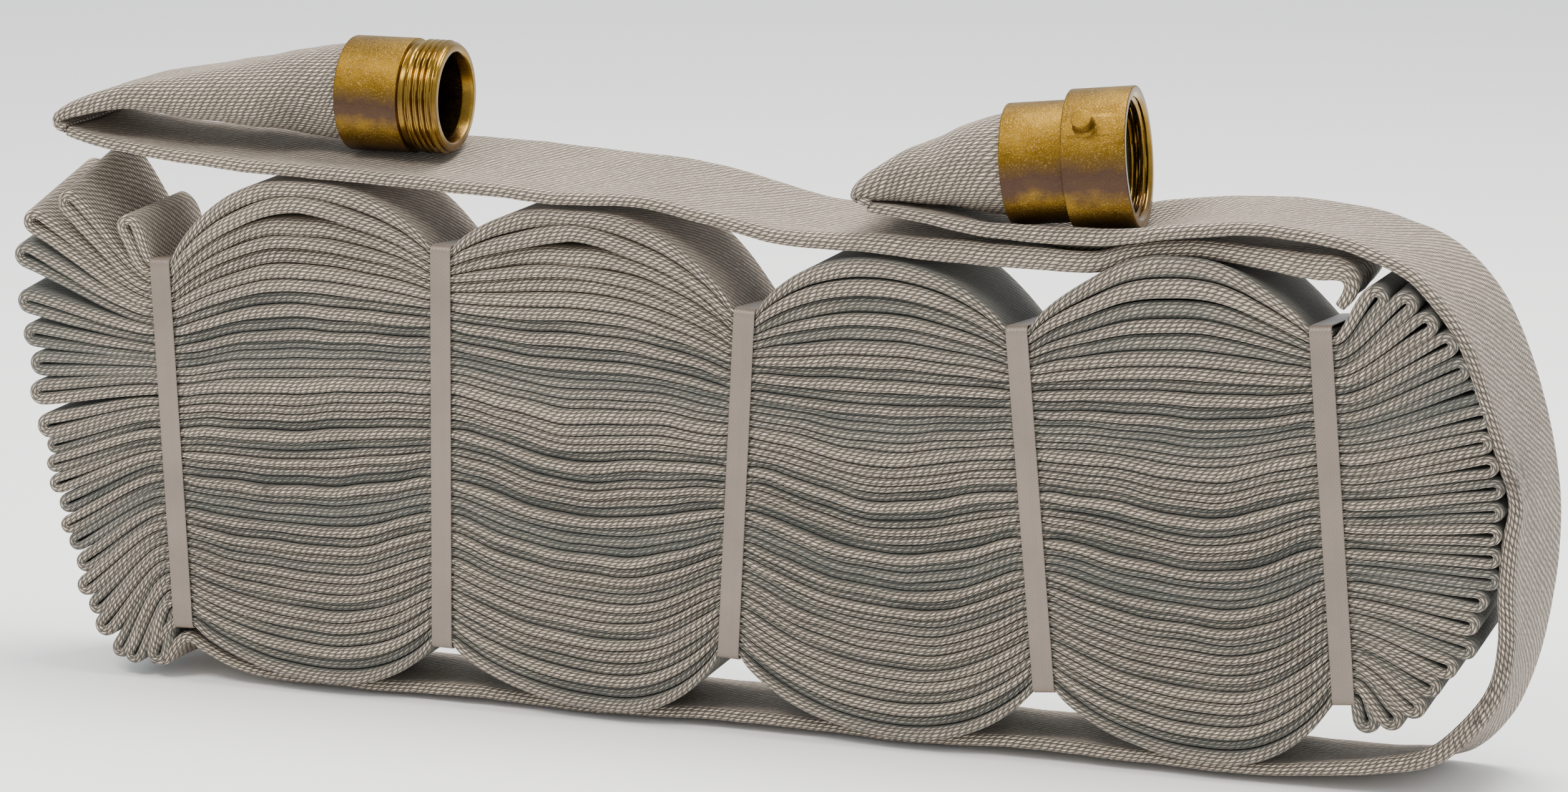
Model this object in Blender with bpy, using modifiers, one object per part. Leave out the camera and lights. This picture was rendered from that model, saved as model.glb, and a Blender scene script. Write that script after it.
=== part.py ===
"""Rack fire hose: one 30 m length of lay-flat hose, folded back and forth on edge, held by five
plastic straps, with a male coupling on one free end and a swivelling female coupling on the other.

Metres. +X runs along the bale, +Y points to its back and +Z up. The origin is on the ground,
under the middle of the bale. Both couplings' mouths look along +X.
"""

import math

import bmesh
import bpy
from mathutils import Matrix, Vector

RUNNING_GAP = 0.0004
CLOSE_GAP = 0.0003

# Hose, flat and round
HOSE_HALF_WIDTH = 0.0325
FLAT_HALF = 0.0020
LOOSE_HALF = 0.0022
JACKET_WALL = 0.0011
LINER_WALL = 0.0006
HOSE_PERIMETER = 4 * (HOSE_HALF_WIDTH - FLAT_HALF) + 2 * math.pi * FLAT_HALF
HOSE_RADIUS = HOSE_PERIMETER / (2 * math.pi)
ARC_STEPS = 9
RIBBON_ARC_STEPS = 4

# Folded stack: each strap's foot (x, z) and head (x, z), and the swellings between straps
STRAP_ENDS = (
    ((-0.2780, 0.0260), (-0.2840, 0.1960)),
    ((-0.1520, 0.0290), (-0.1490, 0.2115)),
    ((-0.0154, 0.0355), (-0.0096, 0.1930)),
    ((0.1260, 0.0325), (0.1133, 0.1930)),
    ((0.2570, 0.0394), (0.2450, 0.2050)),
)
TOP_CRESTS = ((-0.2220, 0.2350), (-0.0880, 0.2306), (0.0537, 0.2167), (0.1830, 0.2155))
BOTTOM_CRESTS = ((-0.2120, 0.0044), (-0.0760, 0.0044), (0.0655, 0.0050), (0.2065, 0.0065))
NOTCH_HALF_WIDTH = 0.0062
SWELL_STEPS = 9
SWELL_ROUNDNESS = 2.2
SWELL_STEEPNESS = 0.75

# Fans of folds past the end straps
FOLDS = 22
FAN_HALF_ANGLE = math.radians(80)
FAN_EVENNESS = 0.75
SCALLOP_STEPS = 3
SCALLOP_HALF_ANGLE = math.radians(75)
SCALLOP_FULLNESS = 0.96

# Straps
STRAP_WIDTH = 0.0095
STRAP_THICKNESS = 0.0007
STRAP_SLACK = 0.0010
LAP_LENGTH = 0.045

# Couplings: distances along the axis from the hose side, and radii
SEGMENTS = 36
SOCKET_RADIUS = 0.0226
SOCKET_DEPTH = 0.0240
WATERWAY_RADIUS = 0.01905
MOUTH_RADIUS = 0.0200
HOSE_END_RADIUS = 0.0223
HOSE_END_DEPTH = 0.0210
RING_RADIUS = 0.0197
RING_WALL = 0.0006
RING_FROM, RING_TO = 0.0015, 0.0206
TAIL_GASKET_FROM, TAIL_GASKET_TO = 0.0214, 0.0236
TAIL_GASKET_RADII = (0.0194, 0.0222)
EDGE = 0.0007
THREAD_PITCH = 0.00282
THREAD_TURNS = 5
CREST_SHARE = 0.16
FLANK_ANGLE = math.radians(30)
SOCKET_LEAD = 0.0015
MOUTH_BEVEL = 0.0010

MALE_LENGTH = 0.0480
BARREL_RADIUS = 0.0255
BARREL_LENGTH = 0.0295
NECK_RADIUS = 0.0232
MALE_THREAD_FROM = 0.0330
MALE_ROOT, MALE_CREST = 0.0239, 0.02525
NECK_BEVEL = 0.0004
NECK_GAP = 0.0006
NOSE_RADIUS = 0.0234
NOSE_LENGTH = 0.0006

FEMALE_LENGTH = 0.0550
TAIL_RADIUS = 0.02595
TAIL_LENGTH = 0.0270
SPIGOT_RADIUS = 0.0240
SPIGOT_END = 0.0410
SWIVEL_RADIUS = 0.0303
SWIVEL_THREAD_FROM = 0.0456
SWIVEL_ROOT, SWIVEL_CREST = 0.0256, 0.0243
SWIVEL_MOUTH_RADIUS = 0.0266
SWIVEL_TURNS = 3
SWIVEL_MOUTH_BEVEL = 0.0008
SWIVEL_GASKET_RADII = (0.0202, 0.0252)
SWIVEL_GASKET_FROM, SWIVEL_GASKET_TO = 0.0415, 0.0452
RACE_AT = 0.0340
RACE_RADIUS = 0.0242
BALL_RADIUS = 0.0016
GROOVE_RADIUS = 0.0019
BALLS = 24
LUG_RADIUS = 0.0044
LUG_TOP = 0.0365
LUG_AT = 0.0375
LUG_ROLL = math.radians(53)
LUG_SEGMENTS = 16
LUG_ROOT_DEPTH = 0.0025
PLUG_RADIUS = 0.0024
PLUG_SUNK = 0.0002
CUT_MARGIN = 0.0010
PLUG_ROLL = math.radians(200)

# Where the free ends lie: fold hinges and couplings
MALE_PIVOT = Vector((-0.3310, 0.0, 0.2545))
MALE_REAR = Vector((-0.2015, 0.0, 0.2709))
MALE_AIM = Vector((1.0, 0.0, 0.0))
FEMALE_PIVOT = Vector((0.0455, 0.0, 0.24135))
FEMALE_REAR = Vector((0.1035, -0.0071, 0.2560))
FEMALE_AIM = Vector((0.0521, 0.0030, 0.0051))

# Routes: x, z, roll in degrees about the route (back edge up), half thickness. Both runs over the
# top dip under the swivel, which leaves its pin lugs room to come round.
WRAP_ROUTE = (
    (-0.2900, 0.0020, 0, FLAT_HALF), (-0.2300, 0.0020, 0, FLAT_HALF),
    (-0.1500, 0.0020, 0, FLAT_HALF), (-0.0600, 0.0020, 0, FLAT_HALF),
    (0.0400, 0.0020, 0, FLAT_HALF), (0.1400, 0.0020, 0, FLAT_HALF),
    (0.2150, 0.0020, 0, FLAT_HALF), (0.2430, 0.0034, -2, FLAT_HALF),
    (0.2630, 0.0062, -5, FLAT_HALF), (0.2830, 0.0108, -8, FLAT_HALF),
    (0.3010, 0.0200, -7, FLAT_HALF), (0.3150, 0.0340, -4, FLAT_HALF),
    (0.3235, 0.0530, -2, FLAT_HALF), (0.3280, 0.0750, 0, FLAT_HALF),
    (0.3297, 0.1000, 0, FLAT_HALF), (0.3292, 0.1250, 0, FLAT_HALF),
    (0.3262, 0.1470, 0, FLAT_HALF), (0.3200, 0.1680, 1, FLAT_HALF),
    (0.3122, 0.1870, 2, FLAT_HALF), (0.3018, 0.2042, 3, FLAT_HALF),
    (0.2875, 0.2195, 4, FLAT_HALF), (0.2700, 0.2298, 4, FLAT_HALF),
    (0.2500, 0.2358, 3, FLAT_HALF), (0.2250, 0.2383, 1, FLAT_HALF),
    (0.2030, 0.2372, 0, FLAT_HALF),
    (0.1830, 0.2336, 0, FLAT_HALF), (0.1680, 0.2292, 0, FLAT_HALF),
    (0.1570, 0.2246, 0, FLAT_HALF), (0.1490, 0.2211, 0, FLAT_HALF),
    (0.1400, 0.2206, 0, FLAT_HALF), (0.1290, 0.2234, 0, FLAT_HALF),
    (0.1180, 0.2252, 0, FLAT_HALF), (0.1000, 0.2266, 0, FLAT_HALF),
    (0.0880, 0.2296, 0, FLAT_HALF), (0.0760, 0.2336, 0, FLAT_HALF),
    (0.0620, 0.2364, 0, FLAT_HALF), (0.0470, 0.2383, 0, FLAT_HALF),
)
TOP_ROUTE = (
    (0.2522, 0.2118, 0, FLAT_HALF), (0.2555, 0.2165, 0, FLAT_HALF),
    (0.2555, 0.2218, 0, FLAT_HALF), (0.2510, 0.2246, 0, FLAT_HALF),
    (0.2430, 0.2246, 0, LOOSE_HALF), (0.2160, 0.2228, 2, LOOSE_HALF),
    (0.1830, 0.2222, 2, LOOSE_HALF), (0.1620, 0.2190, 1.5, LOOSE_HALF),
    (0.1480, 0.2156, 1, LOOSE_HALF), (0.1380, 0.2151, 1, LOOSE_HALF),
    (0.1260, 0.2170, 1.5, LOOSE_HALF), (0.1160, 0.2188, 2, LOOSE_HALF),
    (0.0810, 0.2206, 3, LOOSE_HALF),
    (0.0470, 0.2232, 5, LOOSE_HALF), (0.0120, 0.2256, 6, LOOSE_HALF),
    (-0.0240, 0.2326, 7, LOOSE_HALF), (-0.0590, 0.2379, 8, LOOSE_HALF),
    (-0.0960, 0.2392, 9, LOOSE_HALF), (-0.1320, 0.2408, 9, LOOSE_HALF),
    (-0.1690, 0.2421, 9, LOOSE_HALF), (-0.2070, 0.2424, 7, LOOSE_HALF),
    (-0.2450, 0.2436, 5, LOOSE_HALF), (-0.2830, 0.2453, 3, LOOSE_HALF),
    (-0.3140, 0.2486, 1, FLAT_HALF), (-0.3295, 0.2521, 0, FLAT_HALF),
)
SMOOTH_STEPS = 2

# Hose ends, which open from flat at the fold to round at the coupling
OPENING_STEPS = 9
CAVITY_FROM_STEP = 4
LINER_FROM_STEP = 6
OPENING_SHAPE = 1.2
END_CLEAR_OF_FOLD = 0.0015
END_SHORT_OF_COUPLING = 0.0020
SIDE_SHIFT_AT_FOLD = 0.2


# ---------------------------------------------------------------- scene and materials

def clear_scene():
    for obj in list(bpy.data.objects):
        bpy.data.objects.remove(obj, do_unlink=True)


def new_collection(name):
    collection = bpy.data.collections.new(name)
    bpy.context.scene.collection.children.link(collection)
    return collection


def new_material(name, colour, roughness, metallic=0.0):
    material = bpy.data.materials.new(name)
    material.use_nodes = True
    shader = material.node_tree.nodes["Principled BSDF"]
    shader.inputs["Base Color"].default_value = (*colour, 1.0)
    shader.inputs["Roughness"].default_value = roughness
    shader.inputs["Metallic"].default_value = metallic
    material.diffuse_color = (*colour, 1.0)
    return material


def add_object(name, mesh, material, collection, parent=None):
    """Adds a mesh whose points are in its parent's frame."""
    obj = bpy.data.objects.new(name, mesh)
    collection.objects.link(obj)
    mesh.materials.append(material)
    obj.parent = parent
    return obj


def add_empty(name, matrix, collection, parent=None):
    """Adds an empty at a world matrix, below a parent that only moves it."""
    empty = bpy.data.objects.new(name, None)
    empty.empty_display_size = 0.02
    collection.objects.link(empty)
    if parent:
        empty.parent = parent
        matrix = parent.matrix_basis.inverted() @ matrix
    empty.matrix_basis = matrix
    return empty


def shade(mesh):
    mesh.shade_smooth()
    mesh.set_sharp_from_angle(angle=math.radians(35))


# ---------------------------------------------------------------- shapes

def catmull_rom(points, steps):
    """A smooth curve through every point, as tuples of the same length."""
    padded = [points[0], *points, points[-1]]
    curve = []
    for before, start, end, after in zip(padded, padded[1:], padded[2:], padded[3:]):
        for step in range(steps):
            u = step / steps
            curve.append(tuple(
                0.5 * (2 * p1 + (p2 - p0) * u + (2 * p0 - 5 * p1 + 4 * p2 - p3) * u * u
                       + (3 * p1 - p0 - 3 * p2 + p3) * u ** 3)
                for p0, p1, p2, p3 in zip(before, start, end, after)
            ))
    curve.append(points[-1])
    return curve


def oval_half_width(half_thickness, perimeter):
    """Half the width of a hose squeezed to this half thickness: flat sides, half-round edges."""
    return half_thickness + (perimeter - 2 * math.pi * half_thickness) / 4


def oval_ring(centre, across, up, half_thickness, perimeter, arc_steps=ARC_STEPS):
    half_flat = oval_half_width(half_thickness, perimeter) - half_thickness
    ring = []
    for side in (1, -1):
        for step in range(arc_steps + 1):
            angle = math.pi * (step / arc_steps - 0.5)
            over = side * (half_flat + half_thickness * math.cos(angle))
            above = side * half_thickness * math.sin(angle)
            ring.append(centre + across * over + up * above)
    return ring


def loft(rings, close_ends=True):
    """A skin through rings of equal count. Without end caps, the last ring joins the first."""
    bm = bmesh.new()
    rows = [[bm.verts.new(point) for point in ring] for ring in rings]
    following = rows[1:] if close_ends else rows[1:] + rows[:1]
    for row, after in zip(rows, following):
        for i in range(len(row)):
            j = (i + 1) % len(row)
            bm.faces.new((row[i], row[j], after[j], after[i]))
    if close_ends:
        bm.faces.new(reversed(rows[0]))
        bm.faces.new(rows[-1])
    mesh = bpy.data.meshes.new("loft")
    bm.to_mesh(mesh)
    bm.free()
    shade(mesh)
    return mesh


def section_axes(tangent):
    tangent = tangent.normalized()
    across = Vector((0, 1, 0))
    across = (across - tangent * across.dot(tangent)).normalized()
    return across, tangent.cross(across)


def ribbon(route):
    """A flat hose along a route in the XZ plane."""
    stations = catmull_rom(route, SMOOTH_STEPS)
    centres = []
    for x, z, roll, half in stations:
        on_ground = half + HOSE_HALF_WIDTH * abs(math.sin(math.radians(roll)))
        centres.append(Vector((x, 0, max(z, on_ground))))
    rings = []
    for i, (_, _, roll, half) in enumerate(stations):
        tangent = centres[min(i + 1, len(centres) - 1)] - centres[max(i - 1, 0)]
        across, up = section_axes(tangent)
        # The routes run both ways along X: a positive roll lifts the back edge on both.
        turn = Matrix.Rotation(math.radians(roll) * (1 if tangent.x > 0 else -1), 3, tangent)
        rings.append(oval_ring(centres[i], turn @ across, turn @ up, half, HOSE_PERIMETER,
                               RIBBON_ARC_STEPS))
    return loft(rings)


def turned(profile, segments=SEGMENTS, closed=True):
    """A Screw around local Z of (radius, height) points, down the outside and up the inside."""
    bm = bmesh.new()
    verts = [bm.verts.new((radius, 0, height)) for radius, height in profile]
    for first, second in zip(verts, verts[1:]):
        bm.edges.new((first, second))
    if closed:
        bm.edges.new((verts[-1], verts[0]))
    mesh = bpy.data.meshes.new("profile")
    bm.to_mesh(mesh)
    bm.free()
    spinner = bpy.data.objects.new("profile", mesh)
    bpy.context.scene.collection.objects.link(spinner)
    screw = spinner.modifiers.new("turn", "SCREW")
    screw.steps = segments
    screw.render_steps = segments
    screw.use_merge_vertices = True
    screw.merge_threshold = 0.00001
    result = applied(spinner)
    bpy.data.objects.remove(spinner)
    bpy.data.meshes.remove(mesh)
    return result


def applied(obj):
    """The object's mesh with its modifiers carried out, shaded smooth."""
    bpy.context.view_layer.update()
    graph = bpy.context.evaluated_depsgraph_get()
    mesh = bpy.data.meshes.new_from_object(obj.evaluated_get(graph))
    shade(mesh)
    return mesh


def extruded(name, outlines, half_depth, frame, material, collection):
    """A flat outline with holes, in the frame's local XY plane, thickened both ways along Z."""
    curve = bpy.data.curves.new(name, "CURVE")
    curve.dimensions = "2D"
    curve.fill_mode = "BOTH"
    curve.extrude = half_depth
    for outline in outlines:
        spline = curve.splines.new("POLY")
        spline.points.add(len(outline) - 1)
        spline.use_cyclic_u = True
        for point, (x, y) in zip(spline.points, outline):
            point.co = (x, y, 0, 1)
    obj = bpy.data.objects.new(name, curve)
    collection.objects.link(obj)
    obj.matrix_world = frame
    curve.materials.append(material)
    return obj


# ---------------------------------------------------------------- folded stack

def swelling(start, crest, end):
    """Points from one notch edge over a crest to the next notch edge, both ends included."""
    points = []
    for foot, side in ((start, -1), (end, 1)):
        half = []
        for step in range(SWELL_STEPS + 1):
            share = math.sin(0.5 * math.pi * step / SWELL_STEPS)
            rise = (1 - share ** SWELL_ROUNDNESS) ** SWELL_STEEPNESS
            x = crest[0] + (foot[0] - crest[0]) * share
            half.append((x, foot[1] + (crest[1] - foot[1]) * rise))
        points += half[::-1] if side < 0 else half[1:]
    return points


def envelope(feet, crests):
    """The stack's upper or lower outline, from the first strap to the last, left to right."""
    points = [(feet[0][0] - NOTCH_HALF_WIDTH, feet[0][1])]
    for left, crest, right in zip(feet, crests, feet[1:]):
        start = (left[0] + NOTCH_HALF_WIDTH, left[1])
        end = (right[0] - NOTCH_HALF_WIDTH, right[1])
        points += swelling(start, crest, end)
    points.append((feet[-1][0] + NOTCH_HALF_WIDTH, feet[-1][1]))
    return points


def left_tip(angle):
    height = 0.1130 + 0.1060 * math.sin(angle)
    lean = 0.20 * (height - 0.1130)
    return Vector((-0.2760 - lean - 0.0700 * math.cos(angle) ** 0.35, height))


def right_tip(angle):
    return Vector((0.2590 + 0.0640 * math.cos(angle), 0.1220 + 0.0990 * math.sin(angle)))


def fan(strap, tip_at, outward):
    """Scalloped outline of the fold ends, bottom to top. Outward is +1 at the right end."""
    foot, head = strap
    tips = []
    roots = []
    for fold in range(FOLDS):
        share = 2 * fold / (FOLDS - 1) - 1
        angle = FAN_HALF_ANGLE * (FAN_EVENNESS * share + (1 - FAN_EVENNESS) * share ** 3)
        level = (fold + 0.5) / FOLDS
        tips.append(tip_at(angle))
        roots.append(Vector(foot).lerp(Vector(head), level) + Vector((outward * NOTCH_HALF_WIDTH, 0)))
    points = []
    for i, (tip, root) in enumerate(zip(tips, roots)):
        spacing = (tips[min(i + 1, FOLDS - 1)] - tips[max(i - 1, 0)]).length
        radius = 0.5 * spacing / (2 if 0 < i < FOLDS - 1 else 1)
        aim = (tip - root).normalized()
        centre = tip - aim * radius
        for step in range(SCALLOP_STEPS + 1):
            swing = SCALLOP_HALF_ANGLE * (2 * step / SCALLOP_STEPS - 1) * outward
            points.append(tuple(centre + (Matrix.Rotation(swing, 2) @ aim) * radius * SCALLOP_FULLNESS))
    return points


def make_stack(material, collection):
    feet = [foot for foot, _ in STRAP_ENDS]
    heads = [head for _, head in STRAP_ENDS]
    outline = envelope(feet, BOTTOM_CRESTS)
    outline += fan(STRAP_ENDS[-1], right_tip, 1)
    outline += envelope(heads, TOP_CRESTS)[::-1]
    outline += fan(STRAP_ENDS[0], left_tip, -1)[::-1]
    upright = Matrix.Rotation(math.pi / 2, 4, "X")
    return extruded("hose_folded_stack", [outline], HOSE_HALF_WIDTH, upright, material, collection)


# ---------------------------------------------------------------- straps

def strap_loop(half_height):
    """Inner and outer outline of a strap, with the welded lap thickened along its back."""
    half_inside = HOSE_HALF_WIDTH + CLOSE_GAP
    half_outside = half_inside + STRAP_THICKNESS
    inner = [(-half_inside, -half_height), (half_inside, -half_height),
             (half_inside, half_height), (-half_inside, half_height)]
    top = half_height + STRAP_THICKNESS
    lap = half_outside + STRAP_THICKNESS
    bend = STRAP_THICKNESS
    outer = [
        (-half_outside + bend, -top), (half_outside - bend, -top), (half_outside, -top + bend),
        (half_outside, -LAP_LENGTH / 2 - bend), (lap, -LAP_LENGTH / 2),
        (lap, LAP_LENGTH / 2), (half_outside, LAP_LENGTH / 2 + bend),
        (half_outside, top - bend), (half_outside - bend, top),
        (-half_outside + bend, top), (-half_outside, top - bend), (-half_outside, -top + bend),
    ]
    return [outer, inner]


def make_straps(material, collection):
    for number, (foot, head) in enumerate(STRAP_ENDS, start=1):
        middle = Vector(((foot[0] + head[0]) / 2, 0, (foot[1] + head[1]) / 2))
        length = math.dist(foot, head)
        lean = math.atan2(head[0] - foot[0], head[1] - foot[1])
        upright = Matrix(((0, 0, 1), (1, 0, 0), (0, 1, 0))).to_4x4()
        frame = Matrix.Translation(middle) @ Matrix.Rotation(lean, 4, "Y") @ upright
        loops = strap_loop(length / 2 + STRAP_SLACK)
        extruded(f"strap_{number}", loops, STRAP_WIDTH / 2, frame, material, collection)


# ---------------------------------------------------------------- hose ends

def hose_end_stations(pivot, rear, aim):
    """Centre, direction and half thickness from the fold to the coupling's rear edge."""
    aim = aim.normalized()
    start = Vector((pivot.x + END_CLEAR_OF_FOLD, rear.y * SIDE_SHIFT_AT_FOLD,
                    pivot.z + CLOSE_GAP + FLAT_HALF))
    end = rear - aim * END_SHORT_OF_COUPLING
    stations = []
    for step in range(OPENING_STEPS + 1):
        u = step / OPENING_STEPS
        half = FLAT_HALF + (HOSE_RADIUS - FLAT_HALF) * math.sin(0.5 * math.pi * u) ** OPENING_SHAPE
        # The underside stays on one line, so the middle rises with the thickness.
        bottom = start.lerp(end, u)
        rise = (half - FLAT_HALF) - u * (HOSE_RADIUS - FLAT_HALF)
        stations.append((bottom + Vector((0, 0, rise)), half))
    tangents = []
    for i in range(len(stations)):
        after = stations[min(i + 1, len(stations) - 1)][0]
        before = stations[max(i - 1, 0)][0]
        tangents.append((after - before).normalized())
    tangents[-1] = aim
    return [(centre, tangent, half) for (centre, half), tangent in zip(stations, tangents)]


def rings_along(stations, inset, pivot):
    rings = []
    for centre, tangent, half in stations:
        across, up = section_axes(tangent)
        perimeter = HOSE_PERIMETER - 2 * math.pi * inset
        rings.append(oval_ring(centre - pivot, across, up, half - inset, perimeter))
    return rings


def rings_in_socket(rear, aim, radius, depths, pivot):
    across, up = section_axes(aim)
    aim = aim.normalized()
    perimeter = 2 * math.pi * radius
    return [oval_ring(rear + aim * depth - pivot, across, up, radius, perimeter) for depth in depths]


def make_hose_end(name, pivot, rear, aim, jacket, liner, collection, parent):
    stations = hose_end_stations(pivot, rear, aim)
    depths = (SOCKET_LEAD, HOSE_END_DEPTH)
    outer = rings_along(stations, 0, pivot)
    outer += rings_in_socket(rear, aim, HOSE_END_RADIUS, depths, pivot)
    inner = rings_along(stations[CAVITY_FROM_STEP:], JACKET_WALL, pivot)
    inner += rings_in_socket(rear, aim, HOSE_END_RADIUS - JACKET_WALL, depths, pivot)
    add_object(f"hose_{name}_end", loft(outer + inner[::-1]), jacket, collection, parent)

    skin = JACKET_WALL + CLOSE_GAP
    outer = rings_along(stations[LINER_FROM_STEP:], skin, pivot)
    outer += rings_in_socket(rear, aim, HOSE_END_RADIUS - skin, depths, pivot)
    skin += LINER_WALL
    inner = rings_along(stations[LINER_FROM_STEP:], skin, pivot)
    inner += rings_in_socket(rear, aim, HOSE_END_RADIUS - skin, depths, pivot)
    tube = loft(outer + inner[::-1], close_ends=False)
    add_object(f"liner_{name}_end", tube, liner, collection, parent)


# ---------------------------------------------------------------- couplings

def ring_profile(inner_radius, outer_radius, low, high):
    return [(outer_radius, high), (outer_radius, low), (inner_radius, low), (inner_radius, high)]


def thread_profile(start, root, crest, turns):
    """Ridges from start upwards, bottom to top: flat crests with 60 degree flanks."""
    flank = abs(crest - root) * math.tan(FLANK_ANGLE)
    half = 0.5 * CREST_SHARE * THREAD_PITCH
    points = []
    for turn in range(turns):
        middle = start + (turn + 0.5) * THREAD_PITCH
        points += [(root, middle - half - flank), (crest, middle - half),
                   (crest, middle + half), (root, middle + half + flank)]
    return points


def socket_profile(end):
    """Inside of a hose bowl, from the mouth end's waterway down to the hose side."""
    return [
        (WATERWAY_RADIUS, end), (WATERWAY_RADIUS, SOCKET_DEPTH),
        (SOCKET_RADIUS, SOCKET_DEPTH), (SOCKET_RADIUS, EDGE), (SOCKET_RADIUS + EDGE, 0),
    ][::-1]


def male_profile():
    outside = [(BARREL_RADIUS - EDGE, 0), (BARREL_RADIUS, EDGE),
               (BARREL_RADIUS, BARREL_LENGTH - EDGE), (BARREL_RADIUS - EDGE, BARREL_LENGTH),
               (NECK_RADIUS, BARREL_LENGTH + NECK_BEVEL),
               (NECK_RADIUS, MALE_THREAD_FROM - NECK_GAP)]
    outside += thread_profile(MALE_THREAD_FROM, MALE_ROOT, MALE_CREST, THREAD_TURNS)
    outside += [(NOSE_RADIUS, MALE_LENGTH - NOSE_LENGTH), (NOSE_RADIUS, MALE_LENGTH)]
    inside = socket_profile(MALE_LENGTH - MOUTH_BEVEL) + [(MOUTH_RADIUS, MALE_LENGTH)]
    return outside[::-1] + inside


def groove(side):
    """Half a ball race below (side -1) or above (side +1) the race radius, along +Z."""
    wall = SPIGOT_RADIUS if side < 0 else SPIGOT_RADIUS + RUNNING_GAP
    opening = math.acos(abs(wall - RACE_RADIUS) / GROOVE_RADIUS)
    points = []
    for step in range(7):
        angle = opening * (step / 3 - 1)
        points.append((RACE_RADIUS + side * GROOVE_RADIUS * math.cos(angle),
                       RACE_AT + GROOVE_RADIUS * math.sin(angle)))
    return points


def tailpiece_profile():
    outside = [(TAIL_RADIUS - EDGE, 0), (TAIL_RADIUS, EDGE), (TAIL_RADIUS, TAIL_LENGTH),
               (SPIGOT_RADIUS, TAIL_LENGTH)]
    outside += groove(-1)
    outside += [(SPIGOT_RADIUS, SPIGOT_END - EDGE), (SPIGOT_RADIUS - EDGE, SPIGOT_END)]
    return outside[::-1] + socket_profile(SPIGOT_END)


def swivel_profile():
    low = TAIL_LENGTH + RUNNING_GAP
    bore = SPIGOT_RADIUS + RUNNING_GAP
    outside = [(SWIVEL_RADIUS - EDGE, low), (SWIVEL_RADIUS, low + EDGE),
               (SWIVEL_RADIUS, FEMALE_LENGTH - EDGE), (SWIVEL_RADIUS - EDGE, FEMALE_LENGTH)]
    inside = [(bore, low)] + groove(1)
    inside += [(bore, SPIGOT_END), (SWIVEL_ROOT, SPIGOT_END), (SWIVEL_ROOT, SWIVEL_THREAD_FROM)]
    inside += thread_profile(SWIVEL_THREAD_FROM, SWIVEL_ROOT, SWIVEL_CREST, SWIVEL_TURNS)
    inside += [(SWIVEL_ROOT, FEMALE_LENGTH - SWIVEL_MOUTH_BEVEL), (SWIVEL_MOUTH_RADIUS, FEMALE_LENGTH)]
    return outside[::-1] + inside


def axis_matrix(origin, aim):
    """Local Z along the coupling, local X upwards, local Y to the front."""
    aim = aim.normalized()
    upward = Vector((0, 0, 1))
    upward = (upward - aim * aim.z).normalized()
    sideways = aim.cross(upward)
    turn = Matrix((upward, sideways, aim)).transposed()
    return Matrix.Translation(origin) @ turn.to_4x4()


def radial_matrix(height, roll):
    """Local Z outwards from the coupling's axis at this height and roll."""
    turn = Matrix.Rotation(roll, 4, "Z") @ Matrix.Rotation(math.pi / 2, 4, "Y")
    return Matrix.Translation((0, 0, height)) @ turn


def stud_profile(radius, low, high, edge):
    return [(0, high), (radius - edge, high), (radius, high - edge), (radius, low), (0, low)]


def make_coupling_seals(name, materials, collection, parent):
    ring = ring_profile(RING_RADIUS - RING_WALL, RING_RADIUS, RING_FROM, RING_TO)
    add_object(f"{name}_expansion_ring", turned(ring), materials["ring"], collection, parent)
    gasket = ring_profile(*TAIL_GASKET_RADII, TAIL_GASKET_FROM, TAIL_GASKET_TO)
    add_object(f"{name}_tail_gasket", turned(gasket), materials["rubber"], collection, parent)


def make_swivel(materials, collection, cutters, parent):
    swivel = add_object("female_swivel", turned(swivel_profile()), materials["brass"], collection)
    lug_root = SWIVEL_RADIUS - LUG_ROOT_DEPTH
    lug = turned(stud_profile(LUG_RADIUS, lug_root, LUG_TOP, EDGE), LUG_SEGMENTS, False)
    hole = turned(stud_profile(PLUG_RADIUS + CLOSE_GAP, SPIGOT_RADIUS - CUT_MARGIN,
                               SWIVEL_RADIUS + CUT_MARGIN, EDGE / 2), LUG_SEGMENTS, False)
    tools = (("lug", lug, LUG_AT, LUG_ROLL, "UNION"),
             ("opposite_lug", lug, LUG_AT, LUG_ROLL + math.pi, "UNION"),
             ("plug_hole", hole, RACE_AT, PLUG_ROLL, "DIFFERENCE"))
    for name, mesh, height, roll, operation in tools:
        tool = bpy.data.objects.new(name, mesh)
        cutters.objects.link(tool)
        tool.matrix_basis = radial_matrix(height, roll)
        tool.hide_render = True
        tool.display_type = "WIRE"
        cut = swivel.modifiers.new(name, "BOOLEAN")
        cut.operation = operation
        cut.object = tool
    joined = applied(swivel)
    swivel.modifiers.clear()
    swivel.data = joined
    swivel.parent = parent

    plug = turned(stud_profile(PLUG_RADIUS, RACE_RADIUS + BALL_RADIUS + CLOSE_GAP,
                               SWIVEL_RADIUS - PLUG_SUNK, EDGE / 2), LUG_SEGMENTS, False)
    obj = add_object("race_plug", plug, materials["brass"], collection, parent)
    obj.matrix_basis = radial_matrix(RACE_AT, PLUG_ROLL)


def make_balls(material, collection, parent):
    bm = bmesh.new()
    bmesh.ops.create_uvsphere(bm, u_segments=8, v_segments=6, radius=BALL_RADIUS)
    mesh = bpy.data.meshes.new("ball")
    bm.to_mesh(mesh)
    bm.free()
    mesh.shade_smooth()
    mesh.materials.append(material)
    for number in range(BALLS):
        angle = 2 * math.pi * (number + 0.5) / BALLS
        ball = bpy.data.objects.new(f"swivel_ball_{number + 1:02d}", mesh)
        collection.objects.link(ball)
        ball.parent = parent
        ball.location = (RACE_RADIUS * math.cos(angle), RACE_RADIUS * math.sin(angle), RACE_AT)


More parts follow.
